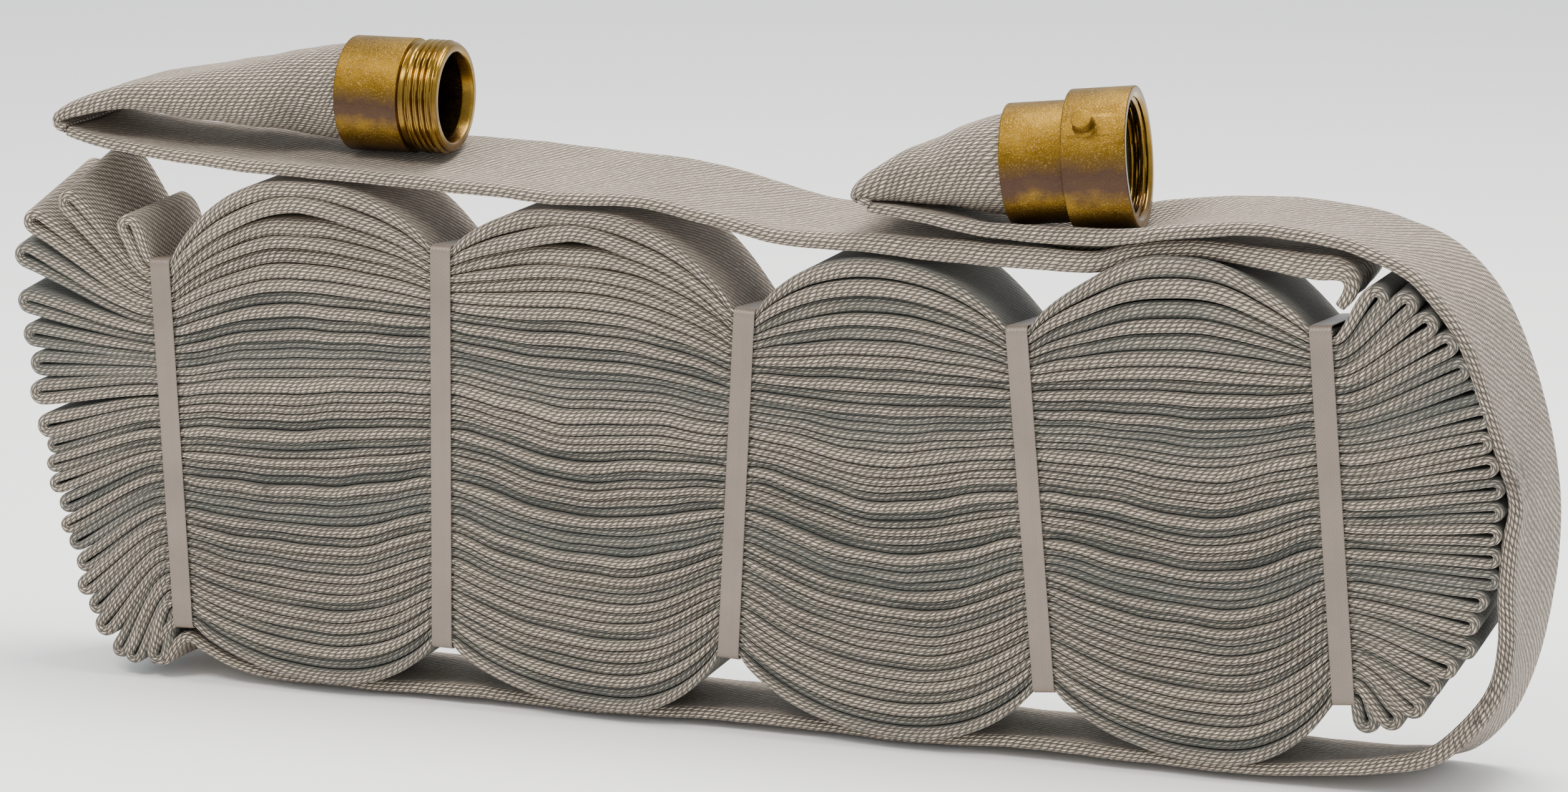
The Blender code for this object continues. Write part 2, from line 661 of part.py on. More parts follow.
def make_male_end(materials, parts, guides):
    pivot = add_empty("male_fold_pivot", Matrix.Translation(MALE_PIVOT), guides)
    axis = add_empty("male_axis", axis_matrix(MALE_REAR, MALE_AIM), guides, pivot)
    make_hose_end("male", MALE_PIVOT, MALE_REAR, MALE_AIM, materials["jacket"],
                  materials["liner"], parts, pivot)
    body = turned(male_profile())
    add_object("male_coupling_body", body, materials["brass"], parts, axis)
    make_coupling_seals("male", materials, parts, axis)


def make_female_end(materials, parts, guides, cutters):
    pivot = add_empty("female_fold_pivot", Matrix.Translation(FEMALE_PIVOT), guides)
    axis = add_empty("female_axis", axis_matrix(FEMALE_REAR, FEMALE_AIM), guides, pivot)
    make_hose_end("female", FEMALE_PIVOT, FEMALE_REAR, FEMALE_AIM, materials["jacket"],
                  materials["liner"], parts, pivot)
    add_object("female_tailpiece", turned(tailpiece_profile()), materials["brass"], parts, axis)
    make_coupling_seals("female", materials, parts, axis)
    make_balls(materials["steel"], parts, axis)
    make_swivel(materials, parts, cutters, axis)
    washer = ring_profile(*SWIVEL_GASKET_RADII, SWIVEL_GASKET_FROM, SWIVEL_GASKET_TO)
    add_object("swivel_gasket", turned(washer), materials["rubber"], parts, axis)


def make_materials():
    return {
        "jacket": new_material("woven_jacket", (0.62, 0.58, 0.53), 0.85),
        "liner": new_material("rubber_liner", (0.05, 0.05, 0.05), 0.6),
        "strap": new_material("strap_plastic", (0.66, 0.61, 0.56), 0.35),
        "brass": new_material("cast_brass", (0.66, 0.45, 0.11), 0.35, 1.0),
        "ring": new_material("ring_brass", (0.72, 0.52, 0.22), 0.3, 1.0),
        "rubber": new_material("gasket_rubber", (0.03, 0.03, 0.03), 0.7),
        "steel": new_material("ball_steel", (0.6, 0.6, 0.6), 0.2, 1.0),
    }


def main():
    clear_scene()
    parts = new_collection("rack_fire_hose")
    guides = new_collection("pivots")
    cutters = new_collection("cutters")
    materials = make_materials()
    make_stack(materials["jacket"], parts)
    add_object("hose_wrap_run", ribbon(WRAP_ROUTE), materials["jacket"], parts)
    add_object("hose_top_run", ribbon(TOP_ROUTE), materials["jacket"], parts)
    make_straps(materials["strap"], parts)
    make_male_end(materials, parts, guides)
    make_female_end(materials, parts, guides, cutters)
    bpy.context.view_layer.update()


main()
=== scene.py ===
"""The rack fire hose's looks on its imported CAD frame: woven hose, glossy straps, cast brass."""

import math

import bmesh
import bpy
import numpy as np
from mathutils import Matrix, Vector


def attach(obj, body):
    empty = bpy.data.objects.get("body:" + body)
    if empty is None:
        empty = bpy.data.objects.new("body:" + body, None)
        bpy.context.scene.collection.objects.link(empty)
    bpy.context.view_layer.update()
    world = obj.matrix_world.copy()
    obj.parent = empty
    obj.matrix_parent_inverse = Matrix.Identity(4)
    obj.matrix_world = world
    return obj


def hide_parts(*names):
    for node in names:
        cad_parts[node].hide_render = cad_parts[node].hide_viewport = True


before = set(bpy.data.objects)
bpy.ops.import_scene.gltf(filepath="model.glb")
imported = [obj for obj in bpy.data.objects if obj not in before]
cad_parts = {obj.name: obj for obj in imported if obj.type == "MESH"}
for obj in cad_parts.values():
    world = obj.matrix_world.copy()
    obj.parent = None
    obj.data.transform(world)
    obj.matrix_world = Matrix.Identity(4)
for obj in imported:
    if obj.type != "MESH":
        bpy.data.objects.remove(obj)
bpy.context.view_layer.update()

# ---------------------------------------------------------------- measures

MM = 0.001
HALF_WIDTH = 0.0325
LAYERS = 45
PAIRS = 22
PERIMETER = 0.1376
JACKET_WALL = 0.0011
LINER_WALL = 0.0006
GAP = 0.0003

# Straps (x, z) at foot and head; crests of the bulges between them.
STRAP_ENDS = MM * np.array([
    ((-278, 27), (-284.5, 195)), ((-150.8, 28.8), (-148.4, 209)), ((-15.5, 36), (-7.8, 189.7)),
    ((127.2, 33.6), (113.3, 190)), ((256.9, 40), (243, 198.5)),
])
TOP_CRESTS = MM * np.array([(-218, 236), (-89, 230.4), (47, 216.4), (181.5, 221.2)])
BOTTOM_CRESTS = MM * np.array([(-205, 5), (-70, 4.2), (64, 4.4), (203.5, 6.4)])
STRAP_HALF = 0.0048
HEAD_DROP = 0.0070
CURL_HEIGHT, CURL_REACH, CURL_DEPTH, CURL_FROM = 0.0055, 0.034, 0.006, 0.180
STRAP_THICKNESS = 0.0007
MIDDLE_STRAP = 2

# Fold tips (x, z) at the left end, bottom to top, and each twisted fold's twist in degrees.
LEFT_TIPS = MM * np.array([
    (-294.1, 6.2), (-306.7, 6.6), (-313.6, 9), (-322, 19.5), (-325.8, 29.3), (-331.2, 38.3),
    (-331.7, 49.5), (-336.1, 59.1), (-339, 67.2), (-340.2, 77.1), (-344.3, 86.7), (-345.8, 96),
    (-345.5, 104.8), (-349.6, 113.7), (-353, 129.6), (-353.1, 143.3), (-356.1, 157), (-358, 173),
    (-358, 195.5), (-352.5, 211.8), (-334.5, 222.2), (-302.6, 215),
])
RIGHT_FAN_CENTRE, RIGHT_FAN_REACH = np.array([0.2590, 0.1220]), np.array([0.0640, 0.0990])
# Creases near the crests: layer, x, height and half width.
KINKS = ((43, -0.2180, 0.0026, 0.030), (42, -0.2180, -0.0012, 0.020), (43, -0.0870, 0.0028, 0.026),
         (42, -0.0870, -0.0014, 0.022), (41, -0.0760, -0.0010, 0.022))
LEFT_TWIST = {16: 3, 17: 5, 18: 9, 19: 13, 20: 14, 21: 14}

# The loose runs: front edge (x, z), back edge (x, z), front, back and middle half thickness, sag.
WRAP_STATIONS = MM * np.array([
    (-282.8, 29, -282.8, 29, 2.2, 2.2, 2, 0),
    (-289, 22.5, -289, 25, 2.3, 2.2, 2, 0),
    (-294.5, 14, -294.5, 17, 2.4, 2.2, 2, 0),
    (-293.5, 9, -294.5, 9, 2.5, 2.2, 2, 0),
    (-288.5, 9.5, -289, 6, 2.6, 2.2, 2, 0),
    (-284, 16, -284, 9, 2.6, 2.2, 2, 0),
    (-277.5, 20.5, -277, 11.5, 2.6, 2.2, 2, 0),
    (-269, 16, -268, 9.5, 2.6, 2.2, 2, 0),
    (-256, 10.5, -254, 6, 2.6, 2.2, 2, 0),
    (-235, 6.2, -235, 3, 2.6, 2.2, 2, 0),
    (-190, 5, -190, 2.4, 2.6, 2.2, 2, 0),
    (-150, 6.2, -150, 2.4, 2.8, 2.2, 2, 0),
    (-70, 4.6, -70, 2.4, 2.6, 2.2, 2, 0),
    (-15, 6.8, -15, 2.4, 2.8, 2.2, 2, 0),
    (60, 5, 60, 2.4, 2.6, 2.2, 2, 0),
    (125, 7.5, 125, 2.4, 2.8, 2.2, 2, 0),
    (200, 6, 200, 2.4, 2.7, 2.2, 2, 0),
    (236, 8, 240, 2.4, 2.8, 2.2, 2, 0),
    (268, 12, 274, 3, 3.4, 2.2, 2, 0),
    (292, 18.5, 299, 7.2, 4, 2.2, 2, 0),
    (308, 32, 315, 23, 4.2, 2.2, 2, 0),
    (320, 50, 324, 43, 4, 2.2, 2, 0),
    (323.5, 70, 329, 64, 3.8, 2.2, 2, 0),
    (322.5, 92, 332.5, 90, 3.8, 2.2, 2, 0),
    (323.5, 113, 333, 112, 3.6, 2.2, 2, 0),
    (325.5, 130, 331.5, 129, 3, 2.2, 2, 0),
    (319.5, 149, 327.5, 150, 3, 2.2, 2, 0),
    (312, 171, 320.5, 174, 2.8, 2.2, 2, 0),
    (304.5, 191, 311, 197, 2.8, 2.2, 2, 0),
    (295.5, 206, 299, 214, 2.8, 2.2, 2, 0),
    (281, 221.5, 284, 226.5, 2.8, 2.2, 2, 0),
    (265, 230, 267, 233, 2.8, 2.2, 2, 0),
    (248, 235.2, 250, 236.8, 2.8, 2.2, 2, 0),
    (216, 238, 218, 240, 2.8, 2.2, 2, 0.4),
    (186, 236, 188, 238.5, 2.9, 2.2, 2, 2),
    (164, 233, 165, 235.5, 3.2, 2.4, 2, 6),
    (148, 231.2, 148, 232.5, 3.7, 2.6, 2, 9.8),
    (132, 230.8, 132, 231, 3.8, 2.6, 2, 8.8),
    (116, 231, 116, 231, 3.7, 2.6, 2, 5.5),
    (98, 231.8, 98, 232.5, 3.2, 2.4, 2, 3.5),
    (80, 233.8, 80, 235, 2.6, 2.2, 2, 1),
    (62, 236.2, 62, 237, 2.4, 2.2, 2, 0),
    (47, 238, 47, 238.5, 2.2, 2.2, 2, 0),
])
TOP_STATIONS = MM * np.array([
    (250.5, 208, 250.5, 210, 2.2, 2.2, 2, 0),
    (254, 213, 253.5, 214.5, 3, 2.4, 2, 0),
    (255, 218, 254.8, 219, 3.6, 2.4, 2, 0),
    (252.5, 222, 252.5, 222.8, 4.4, 2.4, 2, 0),
    (247, 223.8, 247, 224.8, 5.2, 2.4, 2, 0),
    (238, 223.8, 238, 225, 5.4, 2.4, 2.1, 0.8),
    (216, 225.8, 216, 225, 4.6, 2.4, 2.1, 0.8),
    (186, 227.2, 186, 225.6, 3.8, 2.4, 2.1, 1),
    (164, 225, 164, 224, 4.2, 2.4, 2.1, 3),
    (148, 220.6, 148, 220.6, 4.6, 2.4, 2.1, 4.8),
    (132, 220, 132, 220, 4.8, 2.4, 2.1, 4.2),
    (116, 220, 116, 220.8, 5, 2.4, 2.1, 2),
    (81, 221.2, 81, 223.8, 5, 2.4, 2.1, 0.6),
    (47, 222.2, 47, 225.8, 4.2, 2.4, 2.1, 0),
    (12, 222.6, 12, 228, 3.6, 2.4, 2.1, 0),
    (-24, 228.8, -24, 236.2, 3, 2.4, 2.1, 0),
    (-59, 234.6, -59, 242.2, 2.7, 2.4, 2.1, 0),
    (-96, 234, -96, 244, 2.9, 2.4, 2.1, 0),
    (-132, 235.8, -132, 246.2, 3, 2.4, 2.1, 0),
    (-169, 237.8, -169, 246.6, 3, 2.4, 2.1, 0),
    (-207, 238.8, -207, 246, 3, 2.4, 2.1, 0),
    (-245, 240.6, -245, 246, 2.9, 2.4, 2.1, 0),
    (-283, 243.4, -283, 246.6, 2.8, 2.4, 2.1, 0),
    (-312, 247.6, -312, 248.6, 2.6, 2.3, 2.1, 0),
    (-329, 251.5, -329, 251.8, 2.3, 2.2, 2, 0),
])

# Free ends from the fold to the coupling: centre x, y, z and half thickness.
MALE_STATIONS = MM * np.array([
    (-330, 0, 252.8, 2.1), (-333.6, 0, 254, 2.2), (-334.2, 0, 256.8, 2.3),
    (-331.2, 0, 259.4, 2.8), (-324, 0, 262.2, 3.8), (-313, 0, 265.5, 4.6),
    (-301, 0, 267.8, 5.6), (-281, 0, 268.3, 8.8), (-262, 0, 269, 12),
    (-243, 0, 269.8, 15), (-224, 0, 270.6, 18.6), (-208, 0, 270.9, 21.2),
    (-202, 0, 270.9, 21.9),
])
MALE_REAR, MALE_AIM = Vector((-0.2015, 0.0, 0.2709)), Vector((1.0, 0.0, 0.0))
FEMALE_STATIONS = MM * np.array([
    (48, 0, 239.8, 1.6), (44, 0, 241.2, 2), (43.2, 0, 243.4, 2.4),
    (45.8, -0.5, 245.6, 3.6), (52, -1.5, 247.8, 6.8), (60, -2.5, 250, 9.8),
    (70, -4, 252.4, 13.2), (81, -5.2, 254.2, 16.2), (92, -6.2, 255.3, 19.4),
    (100, -7, 255.9, 21.4), (103.5, -7.1, 256, 21.9),
])
FEMALE_REAR = Vector((0.1035, -0.0071, 0.2560))
FEMALE_AIM = Vector((0.0521, 0.0030, 0.0051)).normalized()

# Dents in the free ends: centre, push and reach along each world axis.
MALE_DENTS = MM * np.array([
    ((-223, -26, 260), (0, 5, 1.6), (14, 18, 8.5)),
    ((-213, -26, 269), (0, 2.2, -1), (5, 18, 12)),
    ((-295, -30, 264), (0, 1.6, 0), (12, 12, 6)),
])
FEMALE_DENTS = MM * np.array([
    ((72, -10, 264), (0, 1.2, -2.2), (8, 30, 6)), ((62, -30, 248), (0, 1.6, 0), (12, 12, 5)),
])

# Couplings: distances along the axis and radii, as in the CAD
SOCKET_RADIUS, SOCKET_DEPTH = 0.0226, 0.0240
WATERWAY_RADIUS, MOUTH_RADIUS = 0.01905, 0.0200
HOSE_END_RADIUS, HOSE_END_DEPTH, SOCKET_LEAD = 0.0223, 0.0210, 0.0015
PITCH = 0.00282
MALE_LENGTH, BARREL_RADIUS, BARREL_LENGTH, NECK_RADIUS = 0.0480, 0.0255, 0.0295, 0.0232
MALE_ROOT, MALE_CREST, MALE_THREAD_FROM, NOSE_RADIUS = 0.0239, 0.02525, 0.0326, 0.0236
FEMALE_LENGTH, TAIL_RADIUS, TAIL_LENGTH = 0.0550, 0.02595, 0.0270
SPIGOT_RADIUS, SPIGOT_END, SWIVEL_RADIUS = 0.0240, 0.0410, 0.0303
SWIVEL_ROOT, SWIVEL_CREST, SWIVEL_THREAD_FROM = 0.0256, 0.0243, 0.0458
RUNNING_GAP, RACE_AT, RACE_RADIUS, GROOVE_RADIUS = 0.0004, 0.0340, 0.0242, 0.0019
LUG_RADIUS, LUG_TOP, LUG_AT, LUG_ROLL = 0.0044, 0.0365, 0.0375, math.radians(53)
LUG_FLARE = 0.0012
PLUG_RADIUS, PLUG_ROLL = 0.0024, math.radians(200)

STATION_STEP = 0.0026
RUN_STEP = 0.0020
STACK_RING = (8, 3)
RUN_RING = (10, 9)
OVAL_POINTS = 64
LATHE_POINTS = 144
STUD_POINTS = 48

rng = np.random.default_rng(44)


# ---------------------------------------------------------------- numbers

def smooth_noise(positions, scale, seed):
    """A smooth wavy number about 0, for each position in metres, at this length scale."""
    waves = np.random.default_rng(seed)
    total = np.zeros_like(positions)
    for octave in (1.0, 2.3, 4.9):
        phase = waves.uniform(0, 2 * math.pi)
        total += np.sin(positions * octave * 2 * math.pi / scale + phase) / octave
    return total / 1.6


def resample(points, step, axes=2):
    """Points every step along an open line, with its ends kept. Columns past its axes follow."""
    points = np.asarray(points, float)
    lengths = distances(points[:, :axes])
    count = max(2, int(round(lengths[-1] / step)) + 1)
    at = np.linspace(0, lengths[-1], count)
    return np.column_stack([np.interp(at, lengths, column) for column in points.T])


def smooth(points, passes):
    """Moves each inner point towards the middle of its neighbours, a few times."""
    points = points.copy()
    for _ in range(passes):
        points[1:-1] = 0.5 * points[1:-1] + 0.25 * (points[:-2] + points[2:])
    return points


def catmull_rom(points, steps):
    points = np.asarray(points, float)
    padded = np.vstack([points[:1], points, points[-1:]])
    curve = []
    for p0, p1, p2, p3 in zip(padded, padded[1:], padded[2:], padded[3:]):
        for step in range(steps):
            u = step / steps
            curve.append(0.5 * (2 * p1 + (p2 - p0) * u + (2 * p0 - 5 * p1 + 4 * p2 - p3) * u * u
                                + (3 * p1 - p0 - 3 * p2 + p3) * u ** 3))
    curve.append(points[-1])
    return np.array(curve)


def unit(vectors):
    return vectors / np.linalg.norm(vectors, axis=-1, keepdims=True)


def distances(points):
    return np.r_[0, np.cumsum(np.linalg.norm(np.diff(points, axis=0), axis=1))]


# ---------------------------------------------------------------- meshes

def add_object(name, data):
    obj = bpy.data.objects.new(name, data)
    bpy.context.scene.collection.objects.link(obj)
    return obj


def build_mesh(name, parts, materials, body="bale", node=None):
    """One object from parts of quads: points, faces, uv per face corner and a material index."""
    offset = 0
    points, faces, uvs, finishes = [], [], [], []
    for part in parts:
        points.append(part[0])
        faces.append(part[1] + offset)
        uvs.append(part[2])
        finishes.append(np.broadcast_to(part[3] if len(part) > 3 else 0, len(part[1])))
        offset += len(part[0])
    points, faces, uvs = np.vstack(points), np.vstack(faces), np.vstack(uvs)
    mesh = bpy.data.meshes.new(name)
    mesh.vertices.add(len(points))
    mesh.vertices.foreach_set("co", points.astype(np.float32).ravel())
    mesh.loops.add(faces.size)
    mesh.loops.foreach_set("vertex_index", faces.astype(np.int32).ravel())
    mesh.polygons.add(len(faces))
    mesh.polygons.foreach_set("loop_start", np.arange(0, faces.size, 4, dtype=np.int32))
    layer = mesh.uv_layers.new(name="weave")
    layer.data.foreach_set("uv", uvs.astype(np.float32).ravel())
    for material in materials:
        mesh.materials.append(material)
    mesh.polygons.foreach_set("material_index", np.concatenate(finishes).astype(np.int32))
    mesh.update(calc_edges=True)
    mesh.validate()
    mesh.shade_smooth()
    obj = add_object(name, mesh)
    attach(obj, body)
    if node:
        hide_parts(node)
    return obj


def grid_faces(rows, columns):
    """Quads of a grid whose last column joins its first, and each one's row and column."""
    i, j = np.meshgrid(np.arange(rows - 1), np.arange(columns), indexing="ij")
    i, j = i.ravel(), j.ravel()
    after = (j + 1) % columns
    faces = np.column_stack([i * columns + j, (i + 1) * columns + j,
                             (i + 1) * columns + after, i * columns + after])
    return faces, i, j


def skin(rings, along, around, pairs):
    """A closed skin of quads over rings of points, capped by strips between
    pairs of ring points."""
    rows, columns = rings.shape[:2]
    faces, i, j = grid_faces(rows, columns)
    u = np.broadcast_to(np.asarray(along)[:, None], (rows, columns + 1))
    v = np.broadcast_to(around, (rows, columns + 1))
    corners = ((i, j), (i + 1, j), (i + 1, j + 1), (i, j + 1))
    uvs = np.stack([np.column_stack([u[c], v[c]]) for c in corners], axis=1)
    points = rings.reshape(-1, 3)
    strips = np.array([(a[0], a[1], b[1], b[0]) for a, b in zip(pairs, pairs[1:])])
    caps = np.vstack([strips, (strips + (rows - 1) * columns)[:, ::-1]])
    faces = np.vstack([faces, caps])
    uvs = np.vstack([uvs.reshape(-1, 2), points[caps.ravel()][:, 1:]])
    return outward(points, faces, uvs)


def outward(points, faces, uvs):
    """Turns a closed skin's faces round where they face inwards."""
    if volume(points, faces) < 0:
        return points, faces[:, ::-1], uvs.reshape(-1, 4, 2)[:, ::-1].reshape(-1, 2)
    return points, faces, uvs


def volume(points, faces):
    corners = points[faces]
    first = np.einsum("ij,ij->i", corners[:, 0], np.cross(corners[:, 1], corners[:, 2]))
    second = np.einsum("ij,ij->i", corners[:, 0], np.cross(corners[:, 2], corners[:, 3]))
    return (first + second).sum() / 6


def section(count, half_width, front, back, middle, ring, reach=0.008):
    """Points round a flattened hose, as (over, above) per station: back edge, top, front edge,
    underside. Its edges can be fuller than its middle."""
    edge_points, face_points = ring
    turn = np.linspace(-math.pi / 2, math.pi / 2, edge_points)
    share = np.linspace(0, 1, face_points + 2)[1:-1]
    half_width, front, back, middle = (
        np.broadcast_to(value, count)[:, None] for value in (half_width, front, back, middle))
    back_at, front_at = half_width - back, front - half_width
    face = back_at + share * (front_at - back_at)
    thick = (middle + (back - middle) * np.exp(-((back_at - face) / reach) ** 2)
             + (front - middle) * np.exp(-((face - front_at) / reach) ** 2))
    over = np.hstack([back_at + back * np.cos(turn), face,
                      front_at - front * np.cos(turn), face[:, ::-1]])
    above = np.hstack([back * np.sin(turn), thick, -front * np.sin(turn), -thick[:, ::-1]])
    return over, above


def placed(centres, across, up, over, above):
    """Rings of (over, above) points round their centres, as world points."""
    return (centres[:, None, :] + across[:, None, :] * over[:, :, None]
            + up[:, None, :] * above[:, :, None])


def section_pairs(ring):
    """Ring points below and above each other, from the back edge to the front one."""
    edge_points, face_points = ring
    half = edge_points // 2
    front = edge_points + face_points
    under = 2 * edge_points + face_points
    pairs = [(half - 1 - k, half + k) for k in range(half)]
    pairs += [(under + face_points - 1 - k, edge_points + k) for k in range(face_points)]
    pairs += [(front + edge_points - 1 - k, front + k) for k in range(half)]
    return pairs


def around_of(over, above):
    """Distance round each ring, scaled to the hose's own girth."""
    closed_over = np.hstack([over, over[:, :1]])
    closed_above = np.hstack([above, above[:, :1]])
    steps = np.hypot(np.diff(closed_over, axis=1), np.diff(closed_above, axis=1))
    around = np.hstack([np.zeros((len(over), 1)), np.cumsum(steps, axis=1)])
    return around * PERIMETER / around[:, -1:]


# ---------------------------------------------------------------- folded stack

def layer_levels():
    """Where each layer's middle lies between foot and head, beside a strap and at a crest, and its
    share of the height. At the crests the outer layers stand further apart."""
    weights = 1 + 0.20 * rng.standard_normal(LAYERS).clip(-1.4, 1.4)
    for layer, weight in ((29, 1.75), (44, 1.1), (24, 1.2), (16, 1.3), (8, 1.25)):
        weights[layer] = weight
    edges = np.r_[0, np.cumsum(weights)] / weights.sum()
    middles = 0.5 * (edges[1:] + edges[:-1])
    side = 2 * middles - 1
    spread = weights * (3.9 + 5.2 * side.clip(0) ** 4 + 1.8 * (-side).clip(0) ** 4)
    crests = np.r_[0, np.cumsum(spread)] / spread.sum()
    return middles, np.diff(edges), 0.5 * (crests[1:] + crests[:-1])


LEVELS, SHARES, CREST_LEVELS = layer_levels()
DEPTH_SHIFT = 0.0014 * rng.standard_normal(LAYERS).clip(-1.5, 1.5)
DEPTH_SHIFT[29] = -0.0012


def strap_line(number, level):
    foot, head = STRAP_ENDS[number]
    return foot + (head - foot) * np.asarray(level)[:, None]


def swell(share, level):
    """How far a layer follows its crest, from 1 at the crest to 0 at a strap."""
    outer = np.abs(2 * level - 1)
    steepness = 1.55 - 0.75 * outer ** 1.4
    return (1 - share ** 2.15) ** steepness


def middle_columns():
    """Layer points, as (layer, column, x z), from the first strap to the last."""
    columns = []
    marks = []
    for number in range(5):
        base = strap_line(number, LEVELS)
        marks.append(len(columns) + 1)
        for shift in (-STRAP_HALF, 0, STRAP_HALF):
            columns.append(base + [shift, 0])
        if number == 4:
            break
        after = strap_line(number + 1, LEVELS)
        low, high = BOTTOM_CRESTS[number], TOP_CRESTS[number]
        crest = low + (high - low) * CREST_LEVELS[:, None]
        left = base + [STRAP_HALF, 0]
        right = after - [STRAP_HALF, 0]
        for share in np.sin(np.linspace(-math.pi / 2, math.pi / 2, 31))[1:-1]:
            foot = left if share < 0 else right
            rise = swell(abs(share), LEVELS)
            x = crest[:, 0] + (foot[:, 0] - crest[:, 0]) * abs(share)
            z = foot[:, 1] + (crest[:, 1] - foot[:, 1]) * rise
            columns.append(np.column_stack([x, z]))
    return np.stack(columns, axis=1), marks


def kink(columns, layer, x, height, width):
    """Lifts one layer to a crease at x, with a gap below it."""
    distance = np.abs(columns[layer, :, 0] - x) / width
    columns[layer, :, 1] += height * np.clip(1 - distance, 0, 1) ** 1.3


def wavy(columns):
    """Uneven packing: layers wander together, so that neighbours stay parallel."""
    x = columns[:, :, 0]
    level = LEVELS[:, None]
    inside = np.sin(math.pi * level) ** 0.7
    drift = smooth_noise(x + 0.09 * level, 0.16, 3) * 0.0016
    drift += smooth_noise(x * 1.3 - 0.12 * level, 0.09, 5) * 0.0008
    columns[:, :, 1] += drift * inside


def right_tips():
    shift = np.random.default_rng(11)
    share = 2 * np.arange(PAIRS) / (PAIRS - 1) - 1
    angle = math.radians(80) * (0.75 * share + 0.25 * share ** 3)
    tips = RIGHT_FAN_CENTRE + RIGHT_FAN_REACH * np.column_stack([np.cos(angle), np.sin(angle)])
    out = np.gradient(tips, axis=0)
    out = unit(np.column_stack([out[:, 1], -out[:, 0]]))
    return tips + out * shift.uniform(-0.0032, 0.0004, PAIRS)[:, None]


def hermite(start, start_slope, end, end_slope, count):
    u = np.linspace(0, 1, count)[:, None]
    return ((2 * u ** 3 - 3 * u ** 2 + 1) * start + (u ** 3 - 2 * u ** 2 + u) * start_slope
            + (3 * u ** 2 - 2 * u ** 3) * end + (u ** 3 - u ** 2) * end_slope)


def fold_path(low, high, tip, pitch_end, slit, side):
    """One hairpin past an end strap: XZ points and half thickness, from the lower layer's strap
    edge out to the tip and back to the upper layer's."""
    middle = 0.5 * (low + high)
    start_gap = np.linalg.norm(high - low) / 2
    reach = np.linalg.norm(tip - middle)
    aim = (tip - middle) / reach
    half_end = min(0.5 * pitch_end * 0.96, 0.0060)
    layer_half = 0.5 * (half_end - slit)
    turn_radius = layer_half + slit
    root = tip - aim * (turn_radius + layer_half)
    centre = hermite(middle, np.array([side * reach * 0.55, 0]), root, aim * reach * 0.9, 22)
    tangent = unit(np.gradient(centre, axis=0))
    normal = np.column_stack([-tangent[:, 1], tangent[:, 0]]) * side
    u = np.linspace(0, 1, 22)
    # The layers lie together until shortly before the tip, where they part round the slit.
    extent = 1.94 * start_gap * (1 - u) + half_end * u
    part = np.clip((u - 0.62) / 0.38, 0, 1) ** 1.5
    half = 0.5 * extent * (1 - part) + layer_half * part
    offset = half * 1.03 * (1 - part) + turn_radius * part
    offset[0] = start_gap
    offset[1] = 0.5 * (start_gap + offset[1])
    lower = centre - normal * offset[:, None]
    upper = centre + normal * offset[:, None]
    swing = np.radians(np.linspace(-90, 90, 11)[1:-1])[:, None]
    arc = root + turn_radius * (aim * np.cos(swing) + normal[-1] * np.sin(swing))
    line = np.vstack([lower, arc, upper[::-1]])
    halves = np.r_[half, np.full(len(arc), layer_half), half[::-1]]
    return line, halves


def middle_run(columns, layer, first, last):
    """A layer's XZ points and half thickness between two columns, either way."""
    step = 1 if last >= first else -1
    index = np.arange(first, last + step, step)
    line = columns[layer, index]
    below = columns[max(layer - 1, 0), index]
    above = columns[min(layer + 1, LAYERS - 1), index]
    between = (above - below) / (1 if layer in (0, LAYERS - 1) else 2)
    tangent = unit(np.gradient(line, axis=0))
    spacing = np.abs(between[:, 0] * tangent[:, 1] - between[:, 1] * tangent[:, 0])
    neighbours = 0.5 * (SHARES[max(layer - 1, 0)] + SHARES[min(layer + 1, LAYERS - 1)])
    spacing *= SHARES[layer] / (neighbours * 0.5 + 0.5 * SHARES[layer])
    return line, np.clip(spacing * 0.5 * 0.97, 0.0009, 0.0045)


def hairpin(columns, marks, pair, side):
    """One fold's (x, z, half thickness, depth shift), from strap 3 round its tip and back."""
    middle_mark = marks[MIDDLE_STRAP]
    tips = RIGHT if side > 0 else LEFT_TIPS
    lower, upper = (2 * pair, 2 * pair + 1) if side > 0 else (2 * pair + 1, 2 * pair + 2)
    end = columns.shape[1] - 1 if side > 0 else 0
    go, go_half = middle_run(columns, lower, middle_mark, end)
    back, back_half = middle_run(columns, upper, end, middle_mark)
    near = tips[max(pair - 1, 0)], tips[min(pair + 1, PAIRS - 1)]
    pitch = np.linalg.norm(near[1] - near[0]) / (1 if pair in (0, PAIRS - 1) else 2)
    slit = 0.0009 if side > 0 else 0.0005 + 0.0007 * (pair > 17)
    slit *= 1 + 0.4 * math.sin(pair * 2.1)
    fold, fold_half = fold_path(go[-1], back[0], tips[pair], pitch, slit, side)
    line = np.vstack([go[:-1], fold, back[1:]])
    half = np.r_[go_half[:-1], fold_half, back_half[1:]]
    shift = np.r_[np.full(len(go) - 1, DEPTH_SHIFT[lower]),
                  np.linspace(DEPTH_SHIFT[lower], DEPTH_SHIFT[upper], len(fold)),
                  np.full(len(back) - 1, DEPTH_SHIFT[upper])]
    return np.column_stack([line, half, shift])


def last_layer(columns, marks, side):
    """The half layer that no fold ends: the top one, towards the top run, or the bottom one,
    towards the wrap run."""
    layer = LAYERS - 1 if side > 0 else 0
    end = columns.shape[1] - 1 if side > 0 else 0
    line, half = middle_run(columns, layer, marks[MIDDLE_STRAP], end)
    return np.column_stack([line, half, np.full(len(line), DEPTH_SHIFT[layer])])


